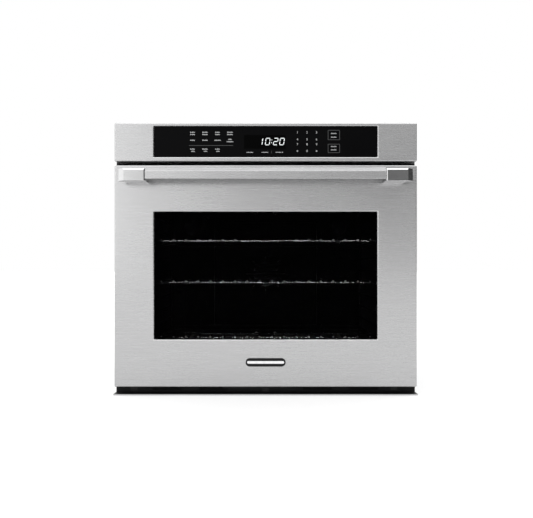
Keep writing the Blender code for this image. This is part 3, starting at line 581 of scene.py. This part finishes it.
def folded_sheet(name, low, high, window, material, radius):
    """A sheet-metal front, open at the back, with a window whose edges turn in."""
    bm = bmesh.new()
    add_block(bm, low, high)
    bm.normal_update()
    bmesh.ops.delete(bm, geom=[face for face in bm.faces if face.normal.y > 0.9], context="FACES")
    x0, z0, x1, z1 = window
    for point, normal in (((x0, 0, 0), (1, 0, 0)), ((x1, 0, 0), (1, 0, 0)),
                          ((0, 0, z0), (0, 0, 1)), ((0, 0, z1), (0, 0, 1))):
        front = [face for face in bm.faces if face.normal.y < -0.9]
        geometry = front + list(dict.fromkeys(edge for face in front for edge in face.edges))
        geometry += list(dict.fromkeys(vert for face in front for vert in face.verts))
        bmesh.ops.bisect_plane(bm, geom=geometry, dist=1e-6, plane_co=point, plane_no=normal)
        bm.normal_update()
    centre = Vector(((x0 + x1) / 2, low[1], (z0 + z1) / 2))
    middle = min((face for face in bm.faces if face.normal.y < -0.9),
                 key=lambda face: (face.calc_center_median() - centre).length)
    rim = list(middle.edges)
    bmesh.ops.delete(bm, geom=[middle], context="FACES_ONLY")
    inward = bmesh.ops.extrude_edge_only(bm, edges=rim)["geom"]
    bmesh.ops.translate(bm, verts=[item for item in inward if isinstance(item, bmesh.types.BMVert)],
                        vec=(0, LIP, 0))
    piece = from_bmesh(name, bm, material)
    soften(piece, radius, 5)
    sheet = piece.modifiers.new("sheet", "SOLIDIFY")
    sheet.thickness = SHEET
    sheet.offset = -1.0
    sheet.use_even_offset = True
    return piece


def arc_corners(points, radius, steps=6, closed=False):
    """A polyline with rounded corners."""
    points = [Vector(point) for point in points]
    count = len(points)
    path = [] if closed else [points[0]]
    for index in range(count) if closed else range(1, count - 1):
        before = points[index - 1]
        corner = points[index]
        after = points[(index + 1) % count]
        start = corner + (before - corner).normalized() * radius
        end = corner + (after - corner).normalized() * radius
        for step in range(steps + 1):
            along = step / steps
            path.append(start.lerp(corner, along).lerp(corner.lerp(end, along), along))
    if not closed:
        path.append(points[-1])
    return path


def wires(name, runs, material, resolution=4):
    """Round wires as one curve; each run is (points, radius, closed)."""
    data = bpy.data.curves.new(name, "CURVE")
    data.dimensions = "3D"
    data.fill_mode = "FULL"
    data.bevel_depth = 0.001
    data.bevel_resolution = resolution
    data.use_fill_caps = True
    for points, radius, closed in runs:
        spline = data.splines.new("POLY")
        spline.points.add(len(points) - 1)
        radii = radius if isinstance(radius, list) else [radius] * len(points)
        for target, point, size in zip(spline.points, points, radii):
            target.co = (*point, 1.0)
            target.radius = size / data.bevel_depth
        spline.use_cyclic_u = closed
        spline.use_smooth = True
    return link(name, data, material)


# ---- the oven's front ----
def make_front(steel, post_steel):
    """The folded door skin and panel bezel, and the handle."""
    skin = folded_sheet("door_skin_sheet", SKIN_LOW, SKIN_HIGH, DOOR_WINDOW, steel, 0.003)
    carve(skin, [((sign * HINGE_X - 0.007, CABINET - 0.0385, 0.020),
                  (sign * HINGE_X + 0.007, CABINET - 0.005, 0.0245)) for _, sign in SIDES])
    own(skin, "door", "brushed_stainless", "door_skin")
    bezel = folded_sheet("control_bezel_sheet", BEZEL_LOW, BEZEL_HIGH, CONTROL_WINDOW, steel, 0.0025)
    own(settle(bezel), "case", "brushed_stainless", "control_bezel")

    # The bar's section as fractions of its box, from the back to the front.
    low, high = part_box("handle_bar")
    profile = [(0.0, 0.024), (0.0, 0.645), (0.42, 1.0), (0.86, 1.0), (1.0, 0.887), (1.0, 0.39),
               (0.34, 0.0), (0.028, 0.0)]
    size = high - low
    bm = bmesh.new()
    draw_out(bm, [(low.x, low.y + a * size.y, low.z + b * size.z) for a, b in profile], (size.x, 0, 0))
    bmesh.ops.recalc_face_normals(bm, faces=bm.faces)
    bar = soften(from_bmesh("handle_bar_tube", bm, steel), 0.0008, 3, 20)
    own(settle(bar, 50), "door", "brushed_stainless", "handle_bar")

    # Each post seen from above, with a chamfered inner corner and a stepped end cap; its top slants.
    chamfer, body_length, cap_front, cap_back, fall = 0.0024, 0.0526, 0.0140, 0.0300, 0.0042
    slope = (0.0, -math.cos(math.radians(30)), math.sin(math.radians(30)))
    for side, sign in SIDES:
        node = "handle_post_" + side
        low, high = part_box(node)
        inner, end = (low.x, high.x) if sign > 0 else (high.x, low.x)
        outer = inner + sign * body_length
        front = low.y
        plan = [(inner, high.y), (inner, front + chamfer), (inner + sign * chamfer, front),
                (outer - sign * 0.0015, front), (outer, front + 0.0020), (end, front + cap_front),
                (end, front + cap_back), (outer, front + cap_back), (outer, high.y)]
        bm = bmesh.new()
        draw_out(bm, [(x, y, low.z) for x, y in plan], (0, 0, high.z - low.z))
        edge = bmesh.ops.bisect_plane(bm, geom=bm.verts[:] + bm.edges[:] + bm.faces[:], dist=1e-6,
                                      plane_co=(0.0, front, high.z - fall), plane_no=slope,
                                      clear_outer=True)["geom_cut"]
        rim = [item for item in edge if isinstance(item, bmesh.types.BMEdge)]
        bmesh.ops.contextual_create(bm, geom=rim)
        bmesh.ops.recalc_face_normals(bm, faces=bm.faces)
        post = soften(from_bmesh(node + "_block", bm, post_steel), 0.0008, 3, 25)
        own(settle(post, 50), "door", "brushed_stainless", node)


def domed_wire(start, end, radius, steps=4):
    """A straight wire whose two ends are rounded off."""
    start = Vector(start)
    end = Vector(end)
    along = (end - start).normalized()
    points, radii = [], []
    for step in range(steps + 1):
        angle = math.radians(90 * step / steps)
        points.append(start + along * radius * 1.2 * (1 - math.cos(angle)))
        radii.append(max(radius * 1.2 * math.sin(angle), radius * 0.1))
    points.append(start + along * radius * 2.6)
    radii.append(radius)
    mirrored = [end - (point - start).length * along for point in reversed(points)]
    return points + mirrored, radii + radii[::-1], False


# ---- racks, guides and heaters ----
def make_racks(chrome, satin):
    """Racks of round wire: an outer loop, two cross wires, and long wires on top with ground ends."""
    half, front, rear = 0.2955, CABINET + 0.048, CABINET + 0.442
    loop, cross, wire = 0.0030, 0.0025, 0.0020
    spacing = (rear - front) / 3
    for name, height in RACK_HEIGHTS.items():
        node, body = name + "_rack", "rack_" + name
        plan = ((-half, front), (half, front), (half, rear), (-half, rear))
        runs = [(arc_corners([(x, y, height) for x, y in plan], 0.012, closed=True), loop, True)]
        for step in (1, 2):
            y = front + spacing * step
            runs.append(([(-half, y, height), (half, y, height)], cross, False))
        top = height + loop + wire - 0.0006
        tips = bmesh.new()
        for index in range(LONG_WIRES):
            offset = index - (LONG_WIRES - 1) / 2
            x = offset * WIRE_PITCH
            hand_hold = name == "upper" and abs(offset) < 2
            start = front + (spacing if hand_hold else 0.0) - 0.0015
            runs.append(domed_wire((x, start, top), (x, rear + 0.0015, top), wire))
            if not hand_hold:
                bmesh.ops.create_uvsphere(tips, u_segments=16, v_segments=12, radius=wire * 1.25,
                                          matrix=Matrix.Translation((x, start + 0.0006, top)))
        own(wires(node + "_wires", runs, chrome), body, "chromed_wire", node)
        own(shade(from_bmesh(node + "_tips", tips, satin)), body, "chromed_wire")


def make_heaters(sheath, seal):
    """Round sheathed elements and the braided door seal."""
    top = [(0.03, 0.44), (0.24, 0.44), (0.24, 0.06), (0.145, 0.06), (0.145, 0.38), (0.05, 0.38),
           (0.05, 0.06)]
    bottom = [(0.03, 0.43), (0.23, 0.43), (0.23, 0.07), (0.12, 0.07), (0.12, 0.35)]
    for node, half, z in (("broil_element", top, BROIL_Z), ("bake_element", bottom, BAKE_Z)):
        half = [(0.03, HEATER_END)] + half
        plan = half + [(-x, depth) for x, depth in reversed(half)]
        path = arc_corners([(x, CABINET + depth, z) for x, depth in plan], 0.02, 8)
        own(wires(node + "_tube", [(path, HEATER_RADIUS, False)], sheath), "case", "heater_sheath", node)
    radius = 0.092
    depth = CABINET + 0.4685
    ring = [math.radians(-80 + 340 * step / 64) for step in range(65)]
    path = [(radius * math.cos(turn), depth, FAN_Z + radius * math.sin(turn)) for turn in ring]
    ends = [(point[0], CABINET + HEATER_END, point[2]) for point in (path[0], path[-1])]
    path = arc_corners([ends[0], path[0], path[1]], 0.006, 4)[:-1] + path[1:-1] + \
        arc_corners([path[-2], path[-1], ends[1]], 0.006, 4)[1:]
    own(wires("convection_element_tube", [(path, HEATER_RADIUS, False)], sheath), "case", "heater_sheath",
        "convection_element")
    x, y, low, high = 0.3165, CABINET - 0.00475, 0.0805, 0.5235
    corners = [(-x, y, low), (x, y, low), (x, y, high), (-x, y, high)]
    own(wires("door_gasket_braid", [(arc_corners(corners, 0.022, 8, True), 0.00295, True)], seal), "case",
        "woven_gasket", "door_gasket")


def make_guides(chrome):
    """The wire ladders that carry the racks at both sides."""
    outer, inner, wire = 0.302, 0.298, 0.0025
    for side, sign in SIDES:
        node = side + "_rack_ladder"
        low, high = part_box(node)
        runs = [([(sign * outer, CABINET + depth, z) for z in (low.z, high.z)], wire, False)
                for depth in (0.060, 0.425)]
        for level in range(10):
            z = 0.1282 + 0.0365 * level
            path = [(sign * outer, low.y, z), (sign * inner, low.y + 0.004, z),
                    (sign * inner, high.y - 0.004, z), (sign * outer, high.y, z)]
            runs.append((arc_corners(path, 0.003, 3), wire, False))
        own(wires(node + "_wires", runs, chrome), "case", "chromed_wire", node)


def make_springs(steel):
    """Coils that balance the door, built at one length; on the real oven they shorten as the hinge rods
    rise.
    """
    wire, turns, steps = 0.0008, 22, 14
    for side, _ in SIDES:
        node = "hinge_spring_" + side
        low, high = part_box(node)
        centre = (low + high) / 2
        coil = (high.x - low.x) / 2 - wire
        bottom, top = low.z + wire, high.z - wire
        path = []
        for step in range(turns * steps + 1):
            angle = math.tau * step / steps
            path.append((centre.x + coil * math.cos(angle), centre.y + coil * math.sin(angle),
                         bottom + (top - bottom) * step / (turns * steps)))
        guide = wires(node + "_guide", [(path, wire, False)], steel, 3)
        mesh = baked(guide)
        bpy.data.objects.remove(guide, do_unlink=True)
        mesh.materials.clear()
        piece = own(link(node + "_coil", mesh, steel), "door", "spring_steel", node)
        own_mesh(piece)


def make_window_frame(paint):
    """The black sheet frame between the panes that hides the door's insulation."""
    near, far = CABINET - 0.0336, CABINET - 0.0149
    x, low, high, sheet = 0.3014, 0.1198, 0.4822, 0.0008
    bm = bmesh.new()
    add_block(bm, (-x, near, low), (x, far, low + sheet))
    add_block(bm, (-x, near, high - sheet), (x, far, high))
    for sign in (-1, 1):
        inner, outer = sorted((sign * x, sign * (x - sheet)))
        add_block(bm, (inner, near, low + sheet), (outer, far, high - sheet))
    own(soften(from_bmesh("window_frame", bm, paint), 0.0002, 2), "door", "black_paint")


# ---- control panel graphics ----
INK_FRONT = GLASS_FRONT - 0.00015
INK_BACK = GLASS_FRONT - 0.00005
CLOCK_FOOT, CLOCK_LEAN = 0.6296, 0.14


def dash(bm, x, z, width, height, lean=0.0, foot=0.0):
    """A flat printed mark centred on (x, z), sheared by lean above its foot."""
    for vert in add_block(bm, (x - width / 2, INK_FRONT, z - height / 2),
                          (x + width / 2, INK_BACK, z + height / 2)):
        vert.co.x += lean * (vert.co.z - foot)


def outline(bm, x0, z0, x1, z1, line):
    """A thin printed frame."""
    dash(bm, (x0 + x1) / 2, z0, x1 - x0, line)
    dash(bm, (x0 + x1) / 2, z1, x1 - x0, line)
    dash(bm, x0, (z0 + z1) / 2, line, z1 - z0)
    dash(bm, x1, (z0 + z1) / 2, line, z1 - z0)


SEGMENTS = {"0": "abcdef", "1": "bc", "2": "abdeg"}


def seven_segment(bm, digit, x, z):
    """One leaning digit built from separate bars; (x, z) is its lower left corner."""
    width, height, stroke = 0.0102, 0.0166, 0.0015
    half = height / 2
    bars = {"a": (width / 2, height, True), "g": (width / 2, half, True), "d": (width / 2, 0.0, True),
            "f": (0.0, half * 1.5, False), "b": (width, half * 1.5, False),
            "e": (0.0, half * 0.5, False), "c": (width, half * 0.5, False)}
    for name in SEGMENTS[digit]:
        across, up, level = bars[name]
        size = (width - stroke * 1.2, stroke) if level else (stroke, half - stroke * 1.2)
        dash(bm, x + across, z + up, *size, CLOCK_LEAN, z)


def numeral(bm, text, x, z, size):
    """A plain printed numeral centred on (x, z)."""
    data = bpy.data.curves.new("numeral", "FONT")
    data.body = text
    data.size = size
    data.align_x = "CENTER"
    data.align_y = "CENTER"
    data.extrude = (INK_BACK - INK_FRONT) / 2
    data.resolution_u = 3
    guide = bpy.data.objects.new("numeral", data)
    bpy.context.scene.collection.objects.link(guide)
    mesh = baked(guide)
    upright = Matrix.Rotation(math.radians(90), 4, "X")
    mesh.transform(Matrix.Translation((x, (INK_FRONT + INK_BACK) / 2, z)) @ upright)
    bm.from_mesh(mesh)
    bpy.data.meshes.remove(mesh)
    bpy.data.objects.remove(guide, do_unlink=True)


def caption(bm, x, z, width, height=0.0027):
    """A row of small blocks where a label stands; it spells nothing."""
    pitch = 0.0024
    count = max(2, round(width / pitch))
    for index in range(count):
        tall = height * (1.0 - 0.28 * ((index * 5 + count) % 3 == 1))
        wide = pitch * (0.70 - 0.18 * (index % 2))
        dash(bm, x + (index - (count - 1) / 2) * pitch, z - (height - tall) / 2, wide, tall)


def make_graphics(ink, faint, lit, dark):
    """Generic marks on the touch glass: label blocks, a keypad, two frames and a clock."""
    bm = bmesh.new()
    columns = ((-0.1838, 0.0125), (-0.1524, 0.0144), (-0.1210, 0.0126), (-0.0896, 0.0150))
    for index, (x, width) in enumerate(columns):
        caption(bm, x, 0.6612, width)
        caption(bm, x, 0.6556, width)
        if index < 3:
            caption(bm, x, 0.6412, width * (1.35 if index == 2 else 1.0))
            caption(bm, x, 0.6190, width)
            caption(bm, x + 0.0012, 0.6134, width * 0.7)
        else:
            caption(bm, x, 0.6435, 0.0096)
            caption(bm, x, 0.6376, 0.0160)
    for start, end in ((-0.0478, -0.0318), (-0.0100, 0.0059), (0.0252, 0.0392)):
        caption(bm, (start + end) / 2, 0.6108, end - start, 0.0022)
    dash(bm, 0.0421, 0.6108, 0.0020, 0.0022)
    keys = ("123", "456", "789", "-0-")
    for row, z in zip(keys, (0.6605, 0.6431, 0.6306, 0.6140)):
        for text, x in zip(row, (0.0798, 0.1040, 0.1279)):
            if text == "-":
                dash(bm, x, z, 0.0046, 0.0012)
                dash(bm, x, z, 0.0012, 0.0040)
            else:
                numeral(bm, text, x, z, 0.0078)
    for z in (0.6582, 0.6490, 0.6254, 0.6170):
        caption(bm, 0.1712, z, 0.0150, 0.0024)
    own(from_bmesh("panel_marks", bm, ink), "case", "black_glass")

    bm = bmesh.new()
    dash(bm, -0.1373, 0.6279, 0.1106, 0.0011)
    dash(bm, 0.0147, 0.6112, 0.0008, 0.0062)
    for z0, z1 in ((0.6424, 0.6661), (0.6100, 0.6313)):
        outline(bm, 0.1570, z0, 0.1859, z1, 0.0011)
    own(from_bmesh("panel_frames", bm, faint), "case", "black_glass")

    bm = bmesh.new()
    add_block(bm, (-0.0544, INK_BACK - 0.00003, 0.6196), (0.0500, INK_BACK, 0.6543))
    own(from_bmesh("display_window", bm, dark), "case", "black_glass")

    bm = bmesh.new()
    for digit, x in zip("1020", (-0.0195, -0.0012, 0.0190, 0.0348)):
        seven_segment(bm, digit, x, CLOCK_FOOT)
    for z in (0.6350, 0.6420):
        dash(bm, 0.0137, z, 0.0017, 0.0017, CLOCK_LEAN, CLOCK_FOOT)
    own(from_bmesh("clock_digits", bm, lit), "case", "black_glass")


# ---- trim, plate and fasteners ----
def screw_heads(name, places, axis, radius, height, material):
    """Pan heads with a cross recess, standing on the case; axis is the way they point."""
    turn = Vector(axis).to_track_quat("Z", "X").to_matrix().to_4x4()
    head = bmesh.new()
    rings = ((1.0, 0.0), (1.0, 0.35), (0.86, 0.78), (0.55, 1.0))
    loops = [[head.verts.new((*point, height * up)) for point in ring_points(radius * wide, 20)]
             for wide, up in rings]
    join_rings(head, zip(loops, loops[1:]))
    head.faces.new(loops[-1])
    head.faces.new(loops[0][::-1])
    for angle in (0, 90):
        spin = Matrix.Rotation(math.radians(angle), 4, "Z")
        size = Matrix.Diagonal((radius * 1.1, radius * 0.2, height * 0.12, 1.0))
        bmesh.ops.create_cube(head, size=1.0, matrix=spin @ Matrix.Translation((0, 0, height)) @ size)
    mesh = bpy.data.meshes.new(name)
    head.to_mesh(mesh)
    head.free()
    bm = bmesh.new()
    for place in places:
        copy = mesh.copy()
        copy.transform(Matrix.Translation(place) @ turn)
        bm.from_mesh(copy)
        bpy.data.meshes.remove(copy)
    bpy.data.meshes.remove(mesh)
    piece = from_bmesh(name, bm, material)
    crisp(piece.data, 40)
    own(piece, "case", "spring_steel")


def raised(bm, low, high, face, height, slope, turn):
    """A pressed-out field: a block whose top is smaller than its foot, on a face along an axis.

    low and high are the foot's corners in the face, and turn maps (u, v, out) to the world.
    """
    sink = 0.0004
    foot = [(low[0], low[1]), (high[0], low[1]), (high[0], high[1]), (low[0], high[1])]
    crown = [(low[0] + slope, low[1] + slope), (high[0] - slope, low[1] + slope),
             (high[0] - slope, high[1] - slope), (low[0] + slope, high[1] - slope)]
    rings = [[bm.verts.new(turn(u, v, face + out)) for u, v in corners]
             for corners, out in ((foot, -sink), (crown, height))]
    bm.faces.new(rings[0][::-1])
    bm.faces.new(rings[1])
    join_rings(bm, [rings])


def pressed(name, bm, material, rounding, segments):
    """Finish raised fields as one piece of the case."""
    bmesh.ops.recalc_face_normals(bm, faces=bm.faces)
    piece = soften(from_bmesh(name, bm, material), rounding, segments, 20)
    own(settle(piece, 50), "case", "galvanised_sheet")


def make_side_details(side, sign, zinc, bolt):
    """Beads, louvres, seams and screws on one side panel."""
    def out(u, v, w):
        return (sign * w, CABINET + u, v)
    beads = bmesh.new()
    for z in (0.130, 0.230, 0.330, 0.430, 0.530):
        raised(beads, (0.070, z - 0.011), (0.520, z + 0.011), CASE_SIDE, 0.0040, 0.006, out)
    for index in range(8):
        u = 0.330 + 0.022 * index
        raised(beads, (u, 0.585), (u + 0.013, 0.640), CASE_SIDE, 0.0045, 0.005, out)
    seams = bmesh.new()
    for low, high in (((0.0005, 0.0006), (0.5890, 0.0150)), ((0.0005, 0.6560), (0.5890, 0.6712)),
                      ((0.5720, 0.0152), (0.5890, 0.6558))):
        raised(seams, low, high, CASE_SIDE, SHEET, 0.0002, out)
    pressed(side + "_panel_beads", beads, zinc, 0.0022, 3)
    pressed(side + "_panel_seams", seams, zinc, 0.0004, 2)
    spots = [(depth, z) for depth in (0.03, 0.20, 0.38, 0.55) for z in (0.0078, 0.6636)]
    spots += [(0.5805, z) for z in (0.09, 0.21, 0.33, 0.45, 0.57)]
    places = [(sign * (CASE_SIDE + SHEET), CABINET + depth, z) for depth, z in spots]
    screw_heads(side + "_panel_screws", places, (sign, 0, 0), 0.0042, 0.0024, bolt)


def make_case_details(zinc, bolt):
    """Seams, stiffening beads, louvres, covers and screws on the case's sides, top and flange."""
    for side, sign in SIDES:
        make_side_details(side, sign, zinc, bolt)

    def up(u, v, w):
        return (u, CABINET + v, w)
    beads = bmesh.new()
    for x in (-0.290, -0.230, 0.230, 0.290):
        raised(beads, (x - 0.013, 0.060), (x + 0.013, 0.430), CASE_TOP, 0.0040, 0.006, up)
    for index in range(9):
        v = 0.060 + 0.016 * index
        for start in (-0.150, 0.020):
            raised(beads, (start, v), (start + 0.130, v + 0.010), CASE_TOP, 0.0035, 0.004, up)
    covers = bmesh.new()
    raised(covers, (-0.170, 0.225), (0.170, 0.460), CASE_TOP, 0.0016, 0.0003, up)
    raised(covers, (0.190, 0.478), (0.345, 0.5840), CASE_TOP, 0.0016, 0.0003, up)
    raised(covers, (-0.3610, 0.0006), (0.3610, 0.0200), CASE_TOP, SHEET, 0.0002, up)
    pressed("top_beads", beads, zinc, 0.0020, 3)
    pressed("top_covers", covers, zinc, 0.0005, 2)
    spots = [(x, v) for x in (-0.160, 0.0, 0.160) for v in (0.236, 0.449)]
    spots += [(x, 0.3425) for x in (-0.160, 0.160)]
    spots += [(x, v) for x in (0.200, 0.335) for v in (0.488, 0.574)]
    places = [(x, CABINET + v, CASE_TOP + 0.0016) for x, v in spots]
    places += [(x, CABINET + 0.0100, CASE_TOP + SHEET) for x in (-0.33, -0.20, -0.07, 0.07, 0.20, 0.33)]
    screw_heads("top_screws", places, (0, 0, 1), 0.0042, 0.0024, bolt)

    places = [(sign * 0.3685, CABINET - 0.0015, z) for sign in (-1, 1) for z in (0.15, 0.35, 0.55)]
    screw_heads("flange_screws", places, (0, -1, 0), 0.0040, 0.0020, bolt)


def make_rear(zinc, bolt, rubber):
    """The rear sheet with a field pressed inward, air slots and a bushed conduit inlet."""
    outside = CABINET + CASE_DEPTH
    press = 0.0032
    bm = bmesh.new()
    corners = [(-0.3615, 0.0005), (0.3615, 0.0005), (0.3615, 0.6715), (-0.3615, 0.6715)]
    bm.faces.new([bm.verts.new((x, outside, z)) for x, z in corners])
    x0, z0, x1, z1 = -0.335, 0.035, 0.335, 0.535
    for point, normal in (((x0, 0, 0), (1, 0, 0)), ((x1, 0, 0), (1, 0, 0)),
                          ((0, 0, z0), (0, 0, 1)), ((0, 0, z1), (0, 0, 1))):
        bmesh.ops.bisect_plane(bm, geom=bm.verts[:] + bm.edges[:] + bm.faces[:], dist=1e-6,
                               plane_co=point, plane_no=normal)
    centre = Vector((0, outside, (z0 + z1) / 2))
    middle = min(bm.faces, key=lambda item: (item.calc_center_median() - centre).length)
    bmesh.ops.inset_region(bm, faces=[middle], thickness=0.008, depth=0.0, use_even_offset=True)
    bmesh.ops.translate(bm, verts=middle.verts, vec=(0, -press, 0))
    bmesh.ops.recalc_face_normals(bm, faces=bm.faces)
    bm.normal_update()
    if middle.normal.y < 0:
        bmesh.ops.reverse_faces(bm, faces=bm.faces)
    piece = soften(from_bmesh("rear_sheet", bm, zinc), 0.0025, 3, 8)
    sheet = piece.modifiers.new("sheet", "SOLIDIFY")
    sheet.thickness = 0.001
    sheet.offset = -1.0
    sheet.use_even_offset = True
    slots = [((-0.30 + 0.02 * n - 0.0025, outside - 0.006, 0.615),
              (-0.30 + 0.02 * n + 0.0025, outside + 0.002, 0.650)) for n in range(24)]
    carve(piece, slots, [((CONDUIT_X, outside, CONDUIT_Z), 0.011)])
    own(piece, "case", "galvanised_sheet", "rear_panel")

    def back(u, v, w):
        return (u, w, v)
    face = outside - press
    cover = 0.0014
    bm = bmesh.new()
    raised(bm, (-0.085, 0.215), (0.085, 0.385), face, cover, 0.0002, back)
    for x in (-0.270, -0.210, 0.210, 0.270):
        raised(bm, (x - 0.011, 0.080), (x + 0.011, 0.490), face, 0.0026, 0.005, back)
    pressed("rear_covers", bm, zinc, 0.0006, 2)
    places = [(x, face + cover, z) for x in (-0.076, 0.076) for z in (0.224, 0.376)]
    screw_heads("rear_cover_screws", places, (0, 1, 0), 0.0036, 0.0016, bolt)
    places = [(x, face, z) for x in (-0.318, -0.11, 0.11, 0.318) for z in (0.052, 0.518)]
    places += [(x, face, z) for x in (-0.318, 0.318) for z in (0.20, 0.37)]
    screw_heads("rear_screws", places, (0, 1, 0), 0.0042, 0.0026, bolt)

    bm = bmesh.new()
    section = ((0.0109, -0.0050), (0.0109, 0.0), (0.0100, 0.0), (0.0085, -0.0012), (0.0085, -0.0050))
    inlet = (CONDUIT_X, CONDUIT_Z)
    rings = [[bm.verts.new((x, outside + y, z)) for x, z in ring_points(radius, 32, inlet)]
             for radius, y in section]
    join_rings(bm, zip(rings, rings[1:] + rings[:1]))
    bmesh.ops.recalc_face_normals(bm, faces=bm.faces)
    own(shade(from_bmesh("conduit_bushing", bm, rubber)), "case", "black_moulding")


def make_trim(edge, bright, plastic):
    """The lower trim's details, a bright steel strip on its lip as a painted highlight, and the plain
    plate on the door.
    """
    low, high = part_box("lower_vent_trim")
    face = CABINET - 0.0050
    bm = bmesh.new()
    add_block(bm, (-0.110, face - 0.0005, 0.0118), (0.056, face, 0.0178))
    add_block(bm, (-0.009, face - 0.0030, 0.0034), (0.008, face, 0.0185))
    for start, end in ((-0.346, -0.328), (0.320, 0.337)):
        add_block(bm, (start, face - 0.0004, 0.0060), (end, face, 0.0160))
    for x in (-0.094, 0.094):
        add_block(bm, (x - 0.0006, face - 0.0006, 0.0034), (x + 0.0006, face, 0.0205))
    own(soften(from_bmesh("trim_brackets", bm, plastic), 0.0002, 2), "case", "black_moulding")
    # A thin bright steel strip on the lip's front: a painted highlight for the pale line of light along
    # the trim's bottom edge.
    bm = bmesh.new()
    add_block(bm, (low.x + 0.0004, low.y - 0.0003, 0.0003), (high.x - 0.0004, low.y, 0.0027))
    own(from_bmesh("trim_edge_painted_highlight", bm, edge), "case", "brushed_stainless")

    low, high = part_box("badge")
    rim, thickness = 0.0035, 0.0009
    points = rounded_bar(low.x + rim, high.x - rim, (low.z + high.z) / 2, 0.0034)
    bm = bmesh.new()
    draw_out(bm, [(x, low.y - thickness, z) for x, z in points], (0, thickness, 0))
    bmesh.ops.recalc_face_normals(bm, faces=bm.faces)
    bar = soften(from_bmesh("badge_bar", bm, bright), 0.0004, 3, 50)
    own(settle(bar, 60), "door", "brushed_stainless")


def rounded_bar(x0, x1, z, radius, steps=12):
    """The outline of a bar with half-round ends."""
    points = []
    for centre, start in ((x1 - radius, -90), (x0 + radius, 90)):
        for step in range(steps + 1):
            angle = math.radians(start + 180 * step / steps)
            points.append((centre + radius * math.cos(angle), z + radius * math.sin(angle)))
    return points


# ---- finishes for the CAD solids that show as they are ----
def dress_nodes(finishes):
    """Give each CAD solid the finish of its own name or of its record's slot."""
    slots = {item["node"]: item["material_slot"] for item in frame["record"]["subparts"]}
    for name, node in frame["nodes"].items():
        node.data.materials.clear()
        node.data.materials.append(finishes.get(name) or finishes[slots[name]])
        crisp(node.data, 35)


make_camera()
make_stage()
steel = brushed_steel("door_steel", (0.405, 0.405, 0.408), (0.475, 0.475, 0.478), 0.27, 0.75, 0.92)
post_steel = brushed_steel("post_steel", (0.50, 0.50, 0.503), (0.56, 0.56, 0.563), 0.13, 0.0)
zinc = galvanised()
chrome = chrome_wire()
sheath = heater_sheath()
bolt = spring_steel()
plastic = moulding()
seal = woven_seal()
lens = lamp_glass()
dress_nodes({
    "brushed_stainless": steel, "galvanised_sheet": zinc, "grey_enamel": enamel(), "chromed_wire": chrome,
    "black_glass": black_glass("black_panel_glass"),
    "tinted_glass": black_glass("tinted_pane", 0.05, 0.004),
    "outer_door_glass": black_glass("door_pane", 0.20, 0.006, (0.0007, 0.0007, 0.0008)),
    # The flange is black paint, and it is set darker than the other black paint as painted shade so the
    # gap between the panel and the door reads black.
    "front_frame": black_paint("flange_black_painted_gap_shade", (0.0015, 0.0015, 0.0016), 0.6),
    "black_paint": black_paint("satin_black"), "black_moulding": plastic, "woven_gasket": seal,
    "heater_sheath": sheath, "spring_steel": bolt, "lamp_lens_left": lens, "lamp_lens_right": lens,
    "glass_fibre_blanket": fibre(), "circuit_board": circuit_board()})
make_front(steel, post_steel)
make_racks(chrome, satin_tips_painted_glint())
make_guides(chrome)
make_heaters(sheath, seal)
make_springs(bolt)
make_window_frame(black_paint("frame_paint"))
make_case_details(zinc, bolt)
make_rear(zinc, bolt, plastic)
make_graphics(printed_ink("printed_marks", 0.34), printed_ink("faint_marks", 0.05), lit_digits(),
              black_glass("display_black", 1.0, 0.02, (0.001, 0.001, 0.001)))
make_trim(post_steel, chrome, black_paint("trim_bracket_paint", (0.02, 0.02, 0.02)))
